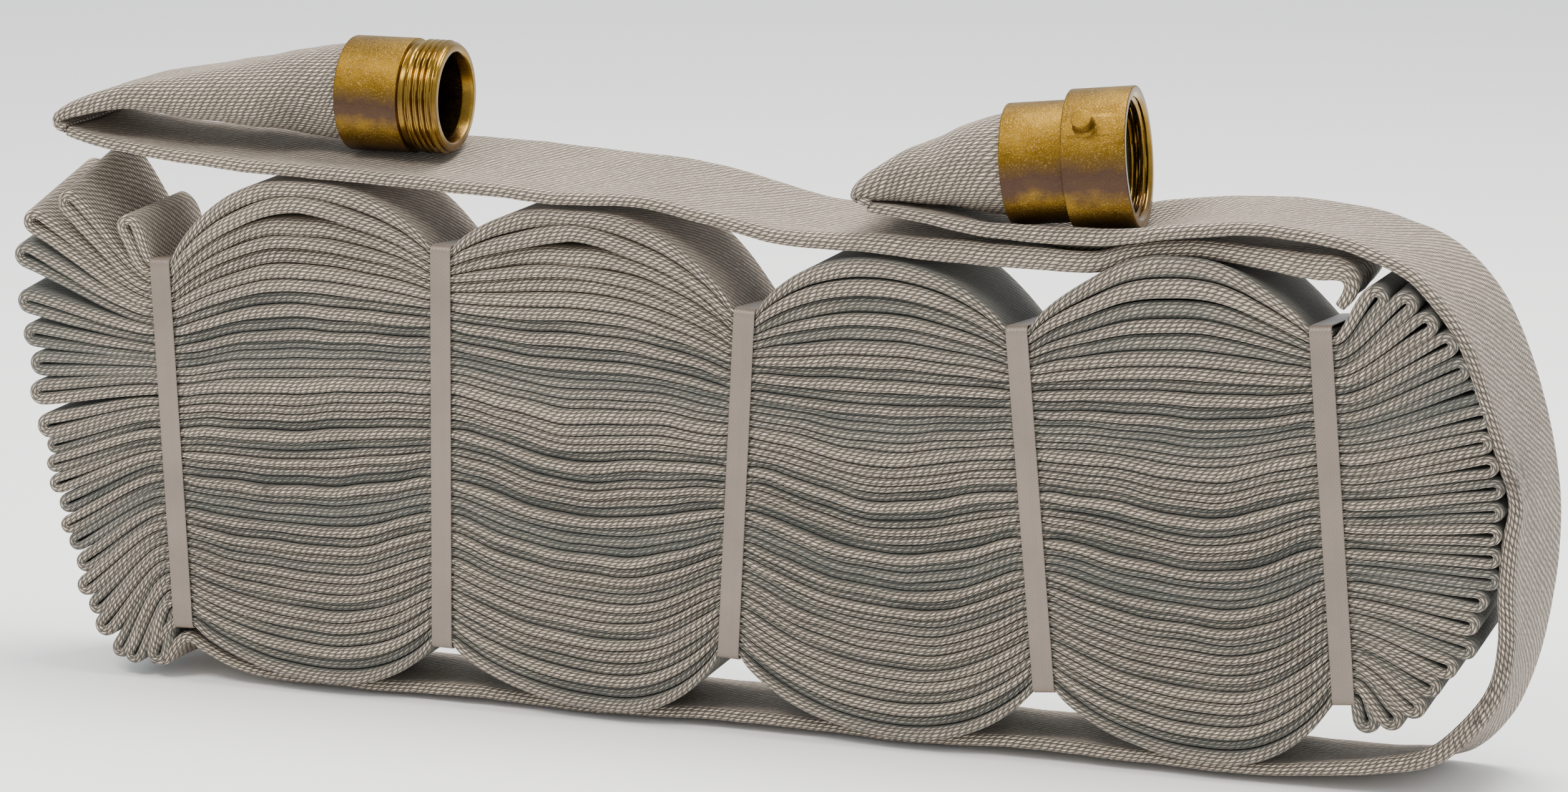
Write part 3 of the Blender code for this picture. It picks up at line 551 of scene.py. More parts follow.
def refine(path):
    """Even stations along a hairpin, closer together where it turns."""
    dense = resample(path, 0.0004)
    tangent = np.gradient(dense[:, :2], axis=0)
    heading = np.unwrap(np.arctan2(tangent[:, 1], tangent[:, 0]))
    turn = np.abs(np.gradient(heading)) / 0.0004
    speed = 1 / np.clip(0.25 / np.maximum(turn, 1e-6), 0.0007, STATION_STEP)
    travelled = np.r_[0, np.cumsum(0.0004 * 0.5 * (speed[1:] + speed[:-1]))]
    at = np.linspace(0, travelled[-1], int(travelled[-1]) + 2)
    return np.column_stack([np.interp(at, travelled, column) for column in dense.T])


def settled(points):
    """The stack sinks towards its back at each strap's head, and its last crest curls up."""
    x, back = points[..., 0], np.clip((points[..., 1] + HALF_WIDTH) / (2 * HALF_WIDTH), 0, 1)
    drop = np.zeros_like(x)
    for foot, head in STRAP_ENDS:
        level = np.clip((points[..., 2] - foot[1]) / (head[1] - foot[1]), 0, 1.1)
        away = x - (foot[0] + (head[0] - foot[0]) * level)
        drop = np.maximum(drop, HEAD_DROP * level ** 3 * np.exp(-(away / 0.020) ** 2))
    points[..., 2] -= drop * back
    curl = np.exp(-((x - TOP_CRESTS[3, 0]) / CURL_REACH) ** 4
                  - ((points[..., 1] + HALF_WIDTH) / CURL_DEPTH) ** 2)
    points[..., 2] += CURL_HEIGHT * curl * np.clip((points[..., 2] - CURL_FROM) / 0.040, 0, 1)
    return points


def strap_nearness(line):
    """1 on a strap's line, falling to 0 beside it."""
    nearness = np.zeros(len(line))
    for foot, head in STRAP_ENDS:
        level = (line[:, 1] - foot[1]) / (head[1] - foot[1])
        away = line[:, 0] - (foot[0] + (head[0] - foot[0]) * level)
        nearness = np.maximum(nearness, np.exp(-(away / 0.0075) ** 4))
    return nearness


def hairpin_tube(path, seed, twist):
    path = refine(smooth(resample(path, 0.0008), 6))
    line, half, shift = path[:, :2], path[:, 2], path[:, 3]
    distance = distances(line)
    pressed = strap_nearness(line)
    wander = shift + 0.0005 * smooth_noise(distance, 0.11, seed)
    wander = wander * (1 - pressed)
    # A twisted fold's back edge stands higher than its front one, more so towards its tip.
    past = np.clip((STRAP_ENDS[0, 1, 0] - STRAP_HALF - line[:, 0]) / 0.045, 0, 1)
    lift = math.radians(twist) * past ** 0.8
    tangent = unit(np.gradient(line, axis=0))
    count = len(line)
    up = np.column_stack([-tangent[:, 1], np.zeros(count), tangent[:, 0]])
    across = np.column_stack([np.zeros(count), np.cos(lift), np.sin(lift)])
    centres = np.column_stack([line[:, 0], wander, line[:, 1] + np.sin(lift) * HALF_WIDTH])
    width = HALF_WIDTH - 0.0004 * pressed + 0.0003 * smooth_noise(distance + 3, 0.07, seed + 50)
    over, above = section(count, width, half, half, half, STACK_RING)
    points = settled(placed(centres, across, up, over, above))
    along = 0.61 * seed + distances(centres)
    return skin(points, along, around_of(over, above), section_pairs(STACK_RING)), distance[-1]


def make_stack(material, open_material):
    """Every fold in sixteen pieces, and the length of hose in each."""
    columns, marks = middle_columns()
    for layer, x, height, width in KINKS:
        kink(columns, layer, x, height, width)
    wavy(columns)
    lengths = {}
    for side, name in ((-1, "left"), (1, "right")):
        for group in range(8):
            parts = []
            total = 0
            for pair in range(group * PAIRS // 8, (group + 1) * PAIRS // 8):
                twist = LEFT_TWIST.get(pair, 0) if side < 0 else 0
                path = hairpin(columns, marks, pair, side)
                part, length = hairpin_tube(path, pair * 2 + (side > 0), twist)
                parts.append(part)
                total += length
            if group == (7 if side > 0 else 0):
                part, length = hairpin_tube(last_layer(columns, marks, side), 90 + side, 0)
                parts.append(part)
                total += length
            finish = open_material if side < 0 and group == 7 else material
            node = "hose_folded_stack" if side < 0 and group == 0 else None
            fold = build_mesh(f"folds_{name}_{group + 1}", parts, [finish], node=node)
            lengths[fold] = total
    return lengths


RIGHT = right_tips()


# ---------------------------------------------------------------- loose runs

def run_mesh(name, stations, material, seed, y_shift, node, set_back=None):
    """A flat hose between a front and a back edge line."""
    path = resample(catmull_rom(stations, 8), RUN_STEP)
    count = len(path)
    length = distances(path[:, :2])
    front, back = path[:, 0:2].copy(), path[:, 2:4].copy()
    front[:, 1] += 0.0004 * smooth_noise(length, 0.08, seed)
    back[:, 1] += 0.0003 * smooth_noise(length, 0.07, seed + 1)
    middle = 0.5 * (front + back)
    side = y_shift * np.clip((length - 0.02) / 0.10, 0, 1) * np.clip((0.62 - length) / 0.25, 0, 1)
    if set_back is not None:
        side = side + 0.0045 * np.exp(-((middle[:, 0] - set_back) / 0.038) ** 4)
    centres = np.column_stack([middle[:, 0], side, middle[:, 1]])
    across = unit(np.column_stack([
        back[:, 0] - front[:, 0], np.full(count, 2 * HALF_WIDTH - 0.005), back[:, 1] - front[:, 1]]))
    tangent = unit(np.gradient(centres, axis=0))
    up = unit(np.cross(tangent, across))
    half_width = HALF_WIDTH + 0.0003 * smooth_noise(length, 0.05, seed + 2)
    over, above = section(count, half_width, path[:, 4], path[:, 5], path[:, 6], RUN_RING)
    wrinkle = 0.00022 * (np.sin(length[:, None] * 190 + over * 240 + seed)
                         + np.sin(length[:, None] * 75 - over * 120))
    inside = np.clip((HALF_WIDTH - 0.006 - np.abs(over)) / 0.008, 0, 1)
    above = above + wrinkle * inside
    points = placed(centres, across, up, over, above)
    points[:, :, 2] -= path[:, 7:8] * np.exp(-(over / 0.0215) ** 4)
    points[:, :, 2] = np.maximum(points[:, :, 2], 0.0)
    part = skin(points, length, around_of(over, above), section_pairs(RUN_RING))
    obj = build_mesh(name, [part], [material], node=node)
    return obj, centres, distances(centres)[-1]


# ---------------------------------------------------------------- free ends

def oval(half, perimeter):
    """Even points round an oval of this half thickness and girth, as (over, above)."""
    flat = max((perimeter - 2 * math.pi * half) / 4, 0.0)
    arc = math.pi * half
    at = (np.arange(OVAL_POINTS) + 0.5) / OVAL_POINTS * (4 * flat + 2 * arc)
    ends = np.cumsum([0, arc / 2, 2 * flat, arc, 2 * flat, arc / 2])
    turn = np.interp(at, ends, np.radians([0, 90, 90, 270, 270, 360]))
    middle = np.interp(at, ends, [flat, flat, -flat, -flat, flat, flat])
    return middle + half * np.cos(turn), half * np.sin(turn)


def oval_rings(path, inset):
    centres = path[:, :3]
    tangent = unit(np.gradient(centres, axis=0))
    across = np.array([0.0, 1.0, 0.0]) - tangent * tangent[:, 1:2]
    across = unit(across)
    up = np.cross(tangent, across)
    rings = []
    for k in range(len(path)):
        over, above = oval(max(path[k, 3] - inset, 0.0004), PERIMETER - 2 * math.pi * inset)
        rings.append(centres[k] + across[k] * over[:, None] + up[k] * above[:, None])
    return np.array(rings)


def socket_path(rear, aim, radius):
    depths = np.linspace(SOCKET_LEAD, HOSE_END_DEPTH, 5)
    return np.array([[*(rear + aim * depth), radius] for depth in depths])


def dented(rings, dents):
    """Pushes the cloth in round each dent."""
    for centre, push, reach in dents:
        away = ((rings - centre) / reach) ** 2
        rings = rings + push * np.exp(-away.sum(axis=-1))[..., None]
    return rings


def end_wrinkles(rings, length, seed, amount):
    middle = rings.mean(axis=1, keepdims=True)
    out = unit(rings - middle)
    turn = np.arctan2(rings[..., 2] - middle[..., 2], rings[..., 1] - middle[..., 1])
    ripple = (np.sin(length[:, None] * 210 + 3 * turn + seed) * 0.6
              + np.sin(length[:, None] * 95 - 5 * turn + 2 * seed) * 0.5)
    fade = np.clip(length / 0.02, 0, 1) * np.clip((length[-1] - length) / 0.02, 0, 1)
    return rings + out * (ripple * amount * fade[:, None])[..., None]


def hose_end(kind, stations, rear, aim, jacket, liner, dents, seed):
    """The jacket and the rubber lining of a free end, both opening from flat to round."""
    path = resample(catmull_rom(stations, 8), 0.0016, axes=3)
    socket = socket_path(rear, aim, HOSE_END_RADIUS)
    length = distances(path[:, :3])
    pairs = [(OVAL_POINTS - 1 - k, k) for k in range(OVAL_POINTS // 2)]
    around = np.linspace(0, PERIMETER, OVAL_POINTS + 1)[None, :]
    cavity = int(np.argmax(path[:, 3] > 0.0075))

    def wall(outer_inset, inner_inset, first, name, material, node, slot):
        rings = []
        for inset, start in ((outer_inset, first), (inner_inset, cavity + 2)):
            shaped = end_wrinkles(dented(oval_rings(path, inset), dents), length, seed, 0.00035)
            rings.append(np.vstack([shaped[start:], oval_rings(socket, inset)]))
        both = np.vstack([rings[0], rings[1][::-1]])
        along = distances(both.mean(axis=1)) + seed
        part = skin(both, along, around, pairs)
        return build_mesh(name, [part], [material], f"{kind}_end", node)

    inner = JACKET_WALL + GAP
    return (wall(0, JACKET_WALL, 0, f"{kind}_end_jacket", jacket, f"hose_{kind}_end", "jacket"),
            wall(inner, inner + LINER_WALL, cavity + 4, f"{kind}_end_liner", liner,
                 f"liner_{kind}_end", "liner"))


# ---------------------------------------------------------------- straps

def strap_mesh(number, material):
    """One plastic band round the stack: a strip wound once, its ends lapped at the back."""
    foot, head = STRAP_ENDS[number]
    middle = 0.5 * (foot + head)
    rise = unit((head - foot)[None, :])[0]
    half_height = 0.5 * np.linalg.norm(head - foot) + 0.0010 + 0.5 * STRAP_THICKNESS
    inside = HALF_WIDTH + 0.0003 + 0.5 * STRAP_THICKNESS
    corner = 0.0030
    lap = 0.0225
    step = STRAP_THICKNESS + 0.00004
    path = [(inside, -lap), (inside, half_height - corner)]
    for quarter, (side, end) in enumerate(((1, 1), (-1, 1), (-1, -1), (1, -1))):
        for turn in np.radians(90 * quarter + np.arange(0, 91, 15)):
            path.append((side * (inside - corner) + corner * math.cos(turn),
                         end * (half_height - corner) + corner * math.sin(turn)))
    path += [(inside, -lap - 0.004), (inside + step, -lap), (inside + step, lap)]
    path = resample(np.array(path), 0.0012)
    back = np.clip((path[:, 0] + HALF_WIDTH) / (2 * HALF_WIDTH), 0, 1)
    path[:, 1] -= HEAD_DROP * back * np.clip(0.5 + 0.5 * path[:, 1] / half_height, 0, 1) ** 3
    tangent = unit(np.gradient(path, axis=0))
    centres = np.column_stack([middle[0] + rise[0] * path[:, 1], path[:, 0],
                               middle[1] + rise[1] * path[:, 1]])
    sideways = np.array([rise[1], 0.0, -rise[0]])
    out = np.column_stack([rise[0] * -tangent[:, 0], tangent[:, 1], rise[1] * -tangent[:, 0]])
    half, thick = STRAP_HALF - 0.00005, 0.5 * STRAP_THICKNESS
    bevel = 0.00022
    lower = np.array([(-half, -thick + bevel), (-half + bevel, -thick), (0, -thick),
                      (half - bevel, -thick), (half, -thick + bevel)])
    outline = np.vstack([lower, lower[::-1] * [1, -1]])
    rings = (centres[:, None, :] + sideways * outline[None, :, :1]
             + out[:, None, :] * outline[None, :, 1:])
    around = np.r_[outline[:, 0], outline[0, 0]][None, :]
    pairs = [(k, 9 - k) for k in range(5)]
    part = skin(rings, distances(path), around, pairs)
    obj = build_mesh(f"strap_band_{number + 1}", [part], [material], node=f"strap_{number + 1}")
    obj.data.set_sharp_from_angle(angle=math.radians(40))


# ---------------------------------------------------------------- couplings

CAST, MACHINED = 0, 1


def rounded(profile, cut=0.0004):
    """Rounds the inner corners of an open line of (radius, height, finish)."""
    points = [(*profile[0], 0.0)]
    for before, here, after in zip(profile, profile[1:], profile[2:]):
        corner = np.array(here[:2])
        back, on = np.array(before[:2]) - corner, np.array(after[:2]) - corner
        back_length, on_length = np.linalg.norm(back), np.linalg.norm(on)
        size = min(cut, 0.45 * back_length, 0.45 * on_length)
        start, end = corner + back / back_length * size, corner + on / on_length * size
        for u in (0.0, 0.33, 0.67, 1.0):
            point = (1 - u) ** 2 * start + 2 * u * (1 - u) * corner + u * u * end
            points.append((*point, here[2], 0.0))
    points.append((*profile[-1], 0.0))
    return points


def thread_rows(start, turns, root, step_sign=1):
    """Rows (radius, height, finish, ridge share) over a thread that dies out at both ends."""
    rows = int(turns * 10)
    points = []
    for k in range(rows + 1):
        share = k / rows
        fade = min(1.0, 1.6 * turns * share, 1.6 * turns * (1 - share))
        points.append((root, start + step_sign * share * turns * PITCH, MACHINED, fade))
    return points


def axes_of(aim):
    """A coupling's axis, the most upward direction across it, and the one to its side."""
    aim = np.array(aim)
    upward = unit(np.array([0.0, 0.0, 1.0]) - aim * aim[2])
    return aim, upward, np.cross(aim, upward)


def lathe(profile, rear, aim, ridge=0.0):
    """A closed turned part round a coupling's axis, with a helical ridge where rows ask for it."""
    aim, upward, sideways = axes_of(aim)
    profile = np.array(profile)
    turn = np.arange(LATHE_POINTS) / LATHE_POINTS
    phase = (profile[:, 1:2] / PITCH - turn[None, :]) % 1.0
    shape = np.clip((0.37 - np.abs(phase - 0.5)) / 0.24, 0, 1)
    radius = profile[:, 0:1] + ridge * profile[:, 3:4] * shape
    angle = 2 * math.pi * turn[None, :, None]
    points = (np.array(rear) + aim * profile[:, 1, None, None]
              + radius[..., None] * (upward * np.cos(angle) + sideways * np.sin(angle)))
    rows = len(profile)
    faces, i, j = grid_faces(rows + 1, LATHE_POINTS)
    faces %= rows * LATHE_POINTS
    along = distances(np.vstack([profile[:, :2], profile[:1, :2]]))
    corners = ((j, i), (j, i + 1), (j + 1, i + 1), (j + 1, i))
    uvs = np.stack([np.column_stack([a / LATHE_POINTS, along[b]]) for a, b in corners], axis=1)
    finish = np.maximum(profile[i, 2], profile[(i + 1) % rows, 2]).astype(int)
    return *outward(points.reshape(-1, 3), faces, uvs.reshape(-1, 2)), finish


def socket_line(end):
    """Inside of a hose bowl, from the waterway at the mouth end down to the hose side."""
    return [(WATERWAY_RADIUS, end, MACHINED), (WATERWAY_RADIUS, SOCKET_DEPTH, MACHINED),
            (SOCKET_RADIUS, SOCKET_DEPTH, MACHINED), (SOCKET_RADIUS, 0.0006, MACHINED),
            (SOCKET_RADIUS + 0.0006, 0.0, CAST)]


def male_body(materials):
    outside = rounded([(BARREL_RADIUS - 0.0002, 0.0, CAST), (BARREL_RADIUS, 0.0004, CAST),
                       (BARREL_RADIUS, BARREL_LENGTH, CAST),
                       (NECK_RADIUS, BARREL_LENGTH + 0.0003, MACHINED),
                       (NECK_RADIUS, MALE_THREAD_FROM - 0.0004, MACHINED),
                       (MALE_ROOT, MALE_THREAD_FROM - 0.0001, MACHINED)])
    outside += thread_rows(MALE_THREAD_FROM, 5.1, MALE_ROOT)
    mouth = rounded([(MALE_ROOT, MALE_LENGTH - 0.0009, MACHINED),
                     (NOSE_RADIUS, MALE_LENGTH - 0.0006, MACHINED),
                     (NOSE_RADIUS - 0.0004, MALE_LENGTH, MACHINED),
                     (MOUTH_RADIUS + 0.0006, MALE_LENGTH, MACHINED),
                     (MOUTH_RADIUS, MALE_LENGTH - 0.0008, MACHINED),
                     *socket_line(MALE_LENGTH - 0.0050)], 0.0003)
    part = lathe(outside + mouth, MALE_REAR, MALE_AIM, MALE_CREST - MALE_ROOT)
    return turned_piece("male_coupling", part, materials, "male_end", "male_coupling_body")


def groove_line(side):
    """Half a ball race, in the spigot (side -1) or in the swivel (side 1), along the axis."""
    wall = SPIGOT_RADIUS if side < 0 else SPIGOT_RADIUS + RUNNING_GAP
    opening = math.acos(abs(wall - RACE_RADIUS) / GROOVE_RADIUS)
    return [(RACE_RADIUS + side * GROOVE_RADIUS * math.cos(opening * (step / 5 - 1)),
             RACE_AT + GROOVE_RADIUS * math.sin(opening * (step / 5 - 1)), MACHINED, 0.0)
            for step in range(11)]


def tailpiece(materials):
    outside = rounded([(TAIL_RADIUS - 0.0002, 0.0, CAST), (TAIL_RADIUS, 0.0004, CAST),
                       (TAIL_RADIUS, TAIL_LENGTH, CAST), (SPIGOT_RADIUS, TAIL_LENGTH, MACHINED),
                       (SPIGOT_RADIUS, TAIL_LENGTH + 0.001, MACHINED)])
    mouth = rounded([(SPIGOT_RADIUS, SPIGOT_END - 0.002, MACHINED),
                     (SPIGOT_RADIUS, SPIGOT_END, MACHINED), *socket_line(SPIGOT_END)])
    part = lathe(outside + groove_line(-1) + mouth, FEMALE_REAR, FEMALE_AIM)
    return turned_piece("female_tail", part, materials, "female_end", "female_tailpiece")


def stud(radius, low, high, roll, at, flare, material):
    """A round stud across the coupling's axis, flared where it grows out of the swivel."""
    aim, upward, sideways = axes_of(FEMALE_AIM)
    out = upward * math.cos(roll) + sideways * math.sin(roll)
    rows = [(radius + flare, low)]
    if flare:
        rows += [(radius + flare * (1 - s) ** 2, SWIVEL_RADIUS - 0.0006 + 0.0022 * s)
                 for s in np.linspace(0, 1, 7)]
    rows += [(radius, high - 0.0005), (radius - 0.00015, high - 0.00015), (radius - 0.0005, high)]
    radii, heights = np.array(rows).T[:, :, None, None]
    turn = 2 * math.pi * np.arange(STUD_POINTS)[:, None] / STUD_POINTS
    circle = aim * np.cos(turn) + np.cross(aim, out) * np.sin(turn)
    points = np.array(FEMALE_REAR) + aim * at + circle * radii + out * heights
    faces = grid_faces(len(rows), STUD_POINTS)[0].tolist()
    last = len(faces)
    faces += [list(range(start, start + STUD_POINTS)) for start in (0, last)]
    mesh = bpy.data.meshes.new("stud")
    mesh.from_pydata(points.reshape(-1, 3).tolist(), [], faces)
    layer = mesh.uv_layers.new(name="weave")
    for loop in mesh.loops:
        layer.data[loop.index].uv = (roll / (2 * math.pi), mesh.vertices[loop.vertex_index].co.z)
    mesh.materials.append(material)
    shell = bmesh.new()
    shell.from_mesh(mesh)
    bmesh.ops.recalc_face_normals(shell, faces=shell.faces)
    shell.to_mesh(mesh)
    shell.free()
    return add_object("stud", mesh)


def swivel(materials):
    low, bore = TAIL_LENGTH + RUNNING_GAP, SPIGOT_RADIUS + RUNNING_GAP
    outside = rounded([(bore, low + 0.0008, MACHINED), (bore + 0.0004, low, MACHINED),
                       (SWIVEL_RADIUS, low, CAST), (SWIVEL_RADIUS, FEMALE_LENGTH, CAST),
                       (SWIVEL_ROOT + 0.0014, FEMALE_LENGTH, MACHINED),
                       (SWIVEL_ROOT, FEMALE_LENGTH - 0.0012, MACHINED)], 0.0007)
    turns = (FEMALE_LENGTH - 0.0013 - SWIVEL_THREAD_FROM) / PITCH
    outside += thread_rows(FEMALE_LENGTH - 0.0013, turns, SWIVEL_ROOT, -1)
    seat = rounded([(SWIVEL_ROOT, SWIVEL_THREAD_FROM - 0.0002, MACHINED),
                    (SWIVEL_ROOT, SPIGOT_END, MACHINED), (bore, SPIGOT_END, MACHINED),
                    (bore, SPIGOT_END - 0.001, MACHINED)], 0.0002)
    profile = outside + seat + groove_line(1)[::-1]
    part = lathe(profile, FEMALE_REAR, FEMALE_AIM, SWIVEL_CREST - SWIVEL_ROOT)
    obj = turned_piece("female_swivel_ring", part, materials, "female_swivel", "female_swivel")
    tools = [("UNION", stud(LUG_RADIUS, SWIVEL_RADIUS - 0.0025, LUG_TOP, roll, LUG_AT, LUG_FLARE,
                            materials[CAST])) for roll in (LUG_ROLL, LUG_ROLL + math.pi)]
    tools += [("DIFFERENCE", stud(PLUG_RADIUS + GAP, SPIGOT_RADIUS - 0.001, SWIVEL_RADIUS + 0.001,
                                  PLUG_ROLL, RACE_AT, 0.0, materials[MACHINED]))]
    for operation, tool in tools:
        cut = obj.modifiers.new("cut", "BOOLEAN")
        cut.operation = operation
        cut.object = tool
    bpy.context.view_layer.update()
    evaluated = obj.evaluated_get(bpy.context.evaluated_depsgraph_get())
    joined = bpy.data.meshes.new_from_object(evaluated)
    obj.modifiers.clear()
    obj.data = joined
    joined.shade_smooth()
    joined.set_sharp_from_angle(angle=math.radians(38))
    for _, tool in tools:
        bpy.data.objects.remove(tool)
    return obj


def turned_piece(name, part, materials, body, node):
    obj = build_mesh(name, [part], materials, body, node)
    obj.data.set_sharp_from_angle(angle=math.radians(38))
    return obj


# ---------------------------------------------------------------- materials

class Finish:
    """A material, with short calls that add and link its nodes."""

    def __init__(self, name):
        self.material = bpy.data.materials.new(name)
        self.material.use_nodes = True
        self.tree = self.material.node_tree
        self.shader = self.tree.nodes["Principled BSDF"]
        self.place = self.add("ShaderNodeTexCoord").outputs["Object"]

    def surface(self, **values):
        """Sets or links the shader's inputs, with _ for each space in their names."""
        for name, value in values.items():
            self.put(self.shader.inputs[name.replace("_", " ")], value)
        return self.material

    def add(self, kind, **settings):
        node = self.tree.nodes.new(kind)
        for key, value in settings.items():
            setattr(node, key, value)
        return node

    def put(self, socket, value):
        if isinstance(value, bpy.types.NodeSocket):
            self.tree.links.new(value, socket)
        else:
            socket.default_value = value

    def uv(self):
        return self.split(self.add("ShaderNodeUVMap", uv_map="weave").outputs[0])

    def math(self, operation, a, b=None):
        node = self.add("ShaderNodeMath", operation=operation)
        self.put(node.inputs[0], a)
        if b is not None:
            self.put(node.inputs[1], b)
        return node.outputs[0]

    def plus(self, a, b):
        return self.math("ADD", a, b)

    def times(self, a, b):
        return self.math("MULTIPLY", a, b)

    def away(self, a, b):
        return self.math("ABSOLUTE", self.math("SUBTRACT", a, b))

    def sine(self, a, b):
        return self.math("SINE", self.times(a, b))

    def mix(self, factor, a, b):
        node = self.add("ShaderNodeMix", data_type="RGBA")
        self.put(node.inputs[0], factor)
        for socket, value in ((node.inputs[6], a), (node.inputs[7], b)):
            self.put(socket, (*value, 1.0) if isinstance(value, tuple) else value)
        return node.outputs[2]

    def noise(self, scale, detail=3.0, roughness=0.55):
        node = self.add("ShaderNodeTexNoise")
        for key, value in (("Vector", self.place), ("Scale", scale), ("Detail", detail),
                           ("Roughness", roughness)):
            self.put(node.inputs[key], value)
        return node.outputs["Fac"]

    def streaks(self, along, scale):
        node = self.add("ShaderNodeTexNoise", noise_dimensions="1D")
        self.put(node.inputs["W"], along)
        self.put(node.inputs["Scale"], scale)
        return node.outputs["Fac"]

    def range(self, value, low, high, to_low=0.0, to_high=1.0):
        node = self.add("ShaderNodeMapRange")
        for socket, number in zip(node.inputs, (value, low, high, to_low, to_high)):
            self.put(socket, number)
        return node.outputs[0]

    def split(self, vector):
        node = self.add("ShaderNodeSeparateXYZ")
        self.put(node.inputs[0], vector)
        return node.outputs

    def near(self, centre, reach):
        """1 at a centre, falling to 0 at this reach from it."""
        node = self.add("ShaderNodeVectorMath", operation="DISTANCE")
        self.put(node.inputs[0], self.place)
        self.put(node.inputs[1], centre)
        return self.range(node.outputs["Value"], 0.0, reach, 1.0, 0.0)

    def bump(self, height, strength, distance):
        node = self.add("ShaderNodeBump")
        for key, value in (("Strength", strength), ("Distance", distance), ("Height", height)):
            self.put(node.inputs[key], value)
        return node.outputs[0]


STITCH_LENGTH, ROW_PITCH = 0.0031, 0.0017

# Dirt: centre and reach.
STAINS = [((0.316, -0.032, 0.030), 0.030), ((0.322, -0.030, 0.052), 0.020),
          ((0.327, -0.024, 0.140), 0.022), ((0.2860, -0.034, 0.0340), 0.008),
          ((0.2750, -0.034, 0.0290), 0.006), ((-0.2350, -0.034, 0.0930), 0.006)]


def weave_material(name, shade_recesses):
    """Cream jacket yarn in a twill: slanted stitches in rows along the hose, with painted shade in
    the grooves and painted glints on stitch tops; the folds also get painted teal shade where layers
    sit back.
    """
    n = Finish(name)
    uv = n.uv()
    wobble = n.noise(260.0, 2.0)
    around = n.plus(n.math("DIVIDE", uv[1], ROW_PITCH), n.times(wobble, 0.34))
    along = n.plus(n.math("DIVIDE", uv[0], STITCH_LENGTH), n.times(wobble, 0.60))
    row, across = n.math("FLOOR", around), n.math("FRACT", around)
    slant = n.plus(n.plus(along, n.times(row, 0.37)), n.times(across, 0.75))
    stitch, cell = n.math("FLOOR", slant), n.math("FRACT", slant)
    bead = n.times(n.sine(cell, math.pi), n.sine(across, math.pi))
    bead = n.math("POWER", n.math("MAXIMUM", bead, 0.0), 0.7)
    mixed = n.math("SINE", n.plus(n.times(row, 12.99), n.times(stitch, 78.23)))
    key = n.math("FRACT", n.times(mixed, 437.5))
    tone = n.plus(n.times(n.noise(16.0, 4.0), 0.5), n.times(n.streaks(uv[0], 3.1), 0.5))
    tone = n.range(tone, 0.36, 0.64)
    light = n.mix(tone, (0.43, 0.340, 0.258), (0.56, 0.452, 0.345))
    # Painted shade: the grooves between stitches take a near-black colour, darkest where the bead
    # mask is lowest.
    painted_groove_shade = n.mix(tone, (0.048, 0.046, 0.036), (0.085, 0.074, 0.056))
    colour = n.mix(n.range(bead, 0.22, 0.90), painted_groove_shade, light)
    # Painted highlight: the tops of random stitches are lifted towards a pale glint colour.
    painted_glint = n.times(n.range(bead, 0.80, 1.0), n.range(key, 0.35, 0.9))
    colour = n.mix(n.times(painted_glint, 0.9), colour, (0.98, 0.88, 0.74))
    if shade_recesses:
        # Painted shade: layers set back from the stack's front and back faces blend towards a teal
        # shadow colour.
        side = n.math("ABSOLUTE", n.split(n.place)[1])
        depth = n.range(side, 0.0336, 0.0300)
        colour = n.mix(n.times(depth, 0.72), colour, (0.070, 0.088, 0.080))
    dirt = 0.0
    for centre, reach in STAINS:
        dirt = n.math("MAXIMUM", n.near(centre, reach), dirt)
    blotch = n.range(n.noise(170.0, 5.0, 0.7), 0.50, 0.60)
    stained = n.times(n.times(n.range(dirt, 0.0, 0.7), blotch), 0.8)
    colour = n.mix(stained, colour, (0.045, 0.036, 0.032))
    height = n.plus(bead, n.times(n.noise(1100.0, 2.0), 0.15))
    return n.surface(Base_Color=colour, Roughness=0.70, Specular_IOR_Level=0.38,
                     Sheen_Weight=0.10, Normal=n.bump(height, 1.0, 0.0009))


def strap_material():
    """Glossy flat plastic with the hose's weave faintly pressed through."""
    n = Finish("strap_plastic")
    uv = n.uv()
    ribs = n.times(n.sine(uv[0], 2900.0), n.sine(uv[1], 4200.0))
    patches = n.noise(30.0, 4.0)
    streaks = n.range(n.streaks(uv[1], 900.0), 0.45, 0.7, 0.0, 0.20)
    colour = n.mix(n.range(patches, 0.35, 0.65), (0.150, 0.118, 0.092), (0.190, 0.150, 0.118))
    colour = n.mix(n.range(ribs, 0.1, 1.0, 0.0, 0.16), colour, (0.36, 0.31, 0.26))
    colour = n.mix(streaks, colour, (0.13, 0.105, 0.085))
    height = n.plus(n.times(ribs, 0.5), patches)
    return n.surface(Base_Color=colour, Roughness=n.range(patches, 0.3, 0.7, 0.30, 0.42),
                     Specular_IOR_Level=0.5, Normal=n.bump(height, 0.25, 0.0003))


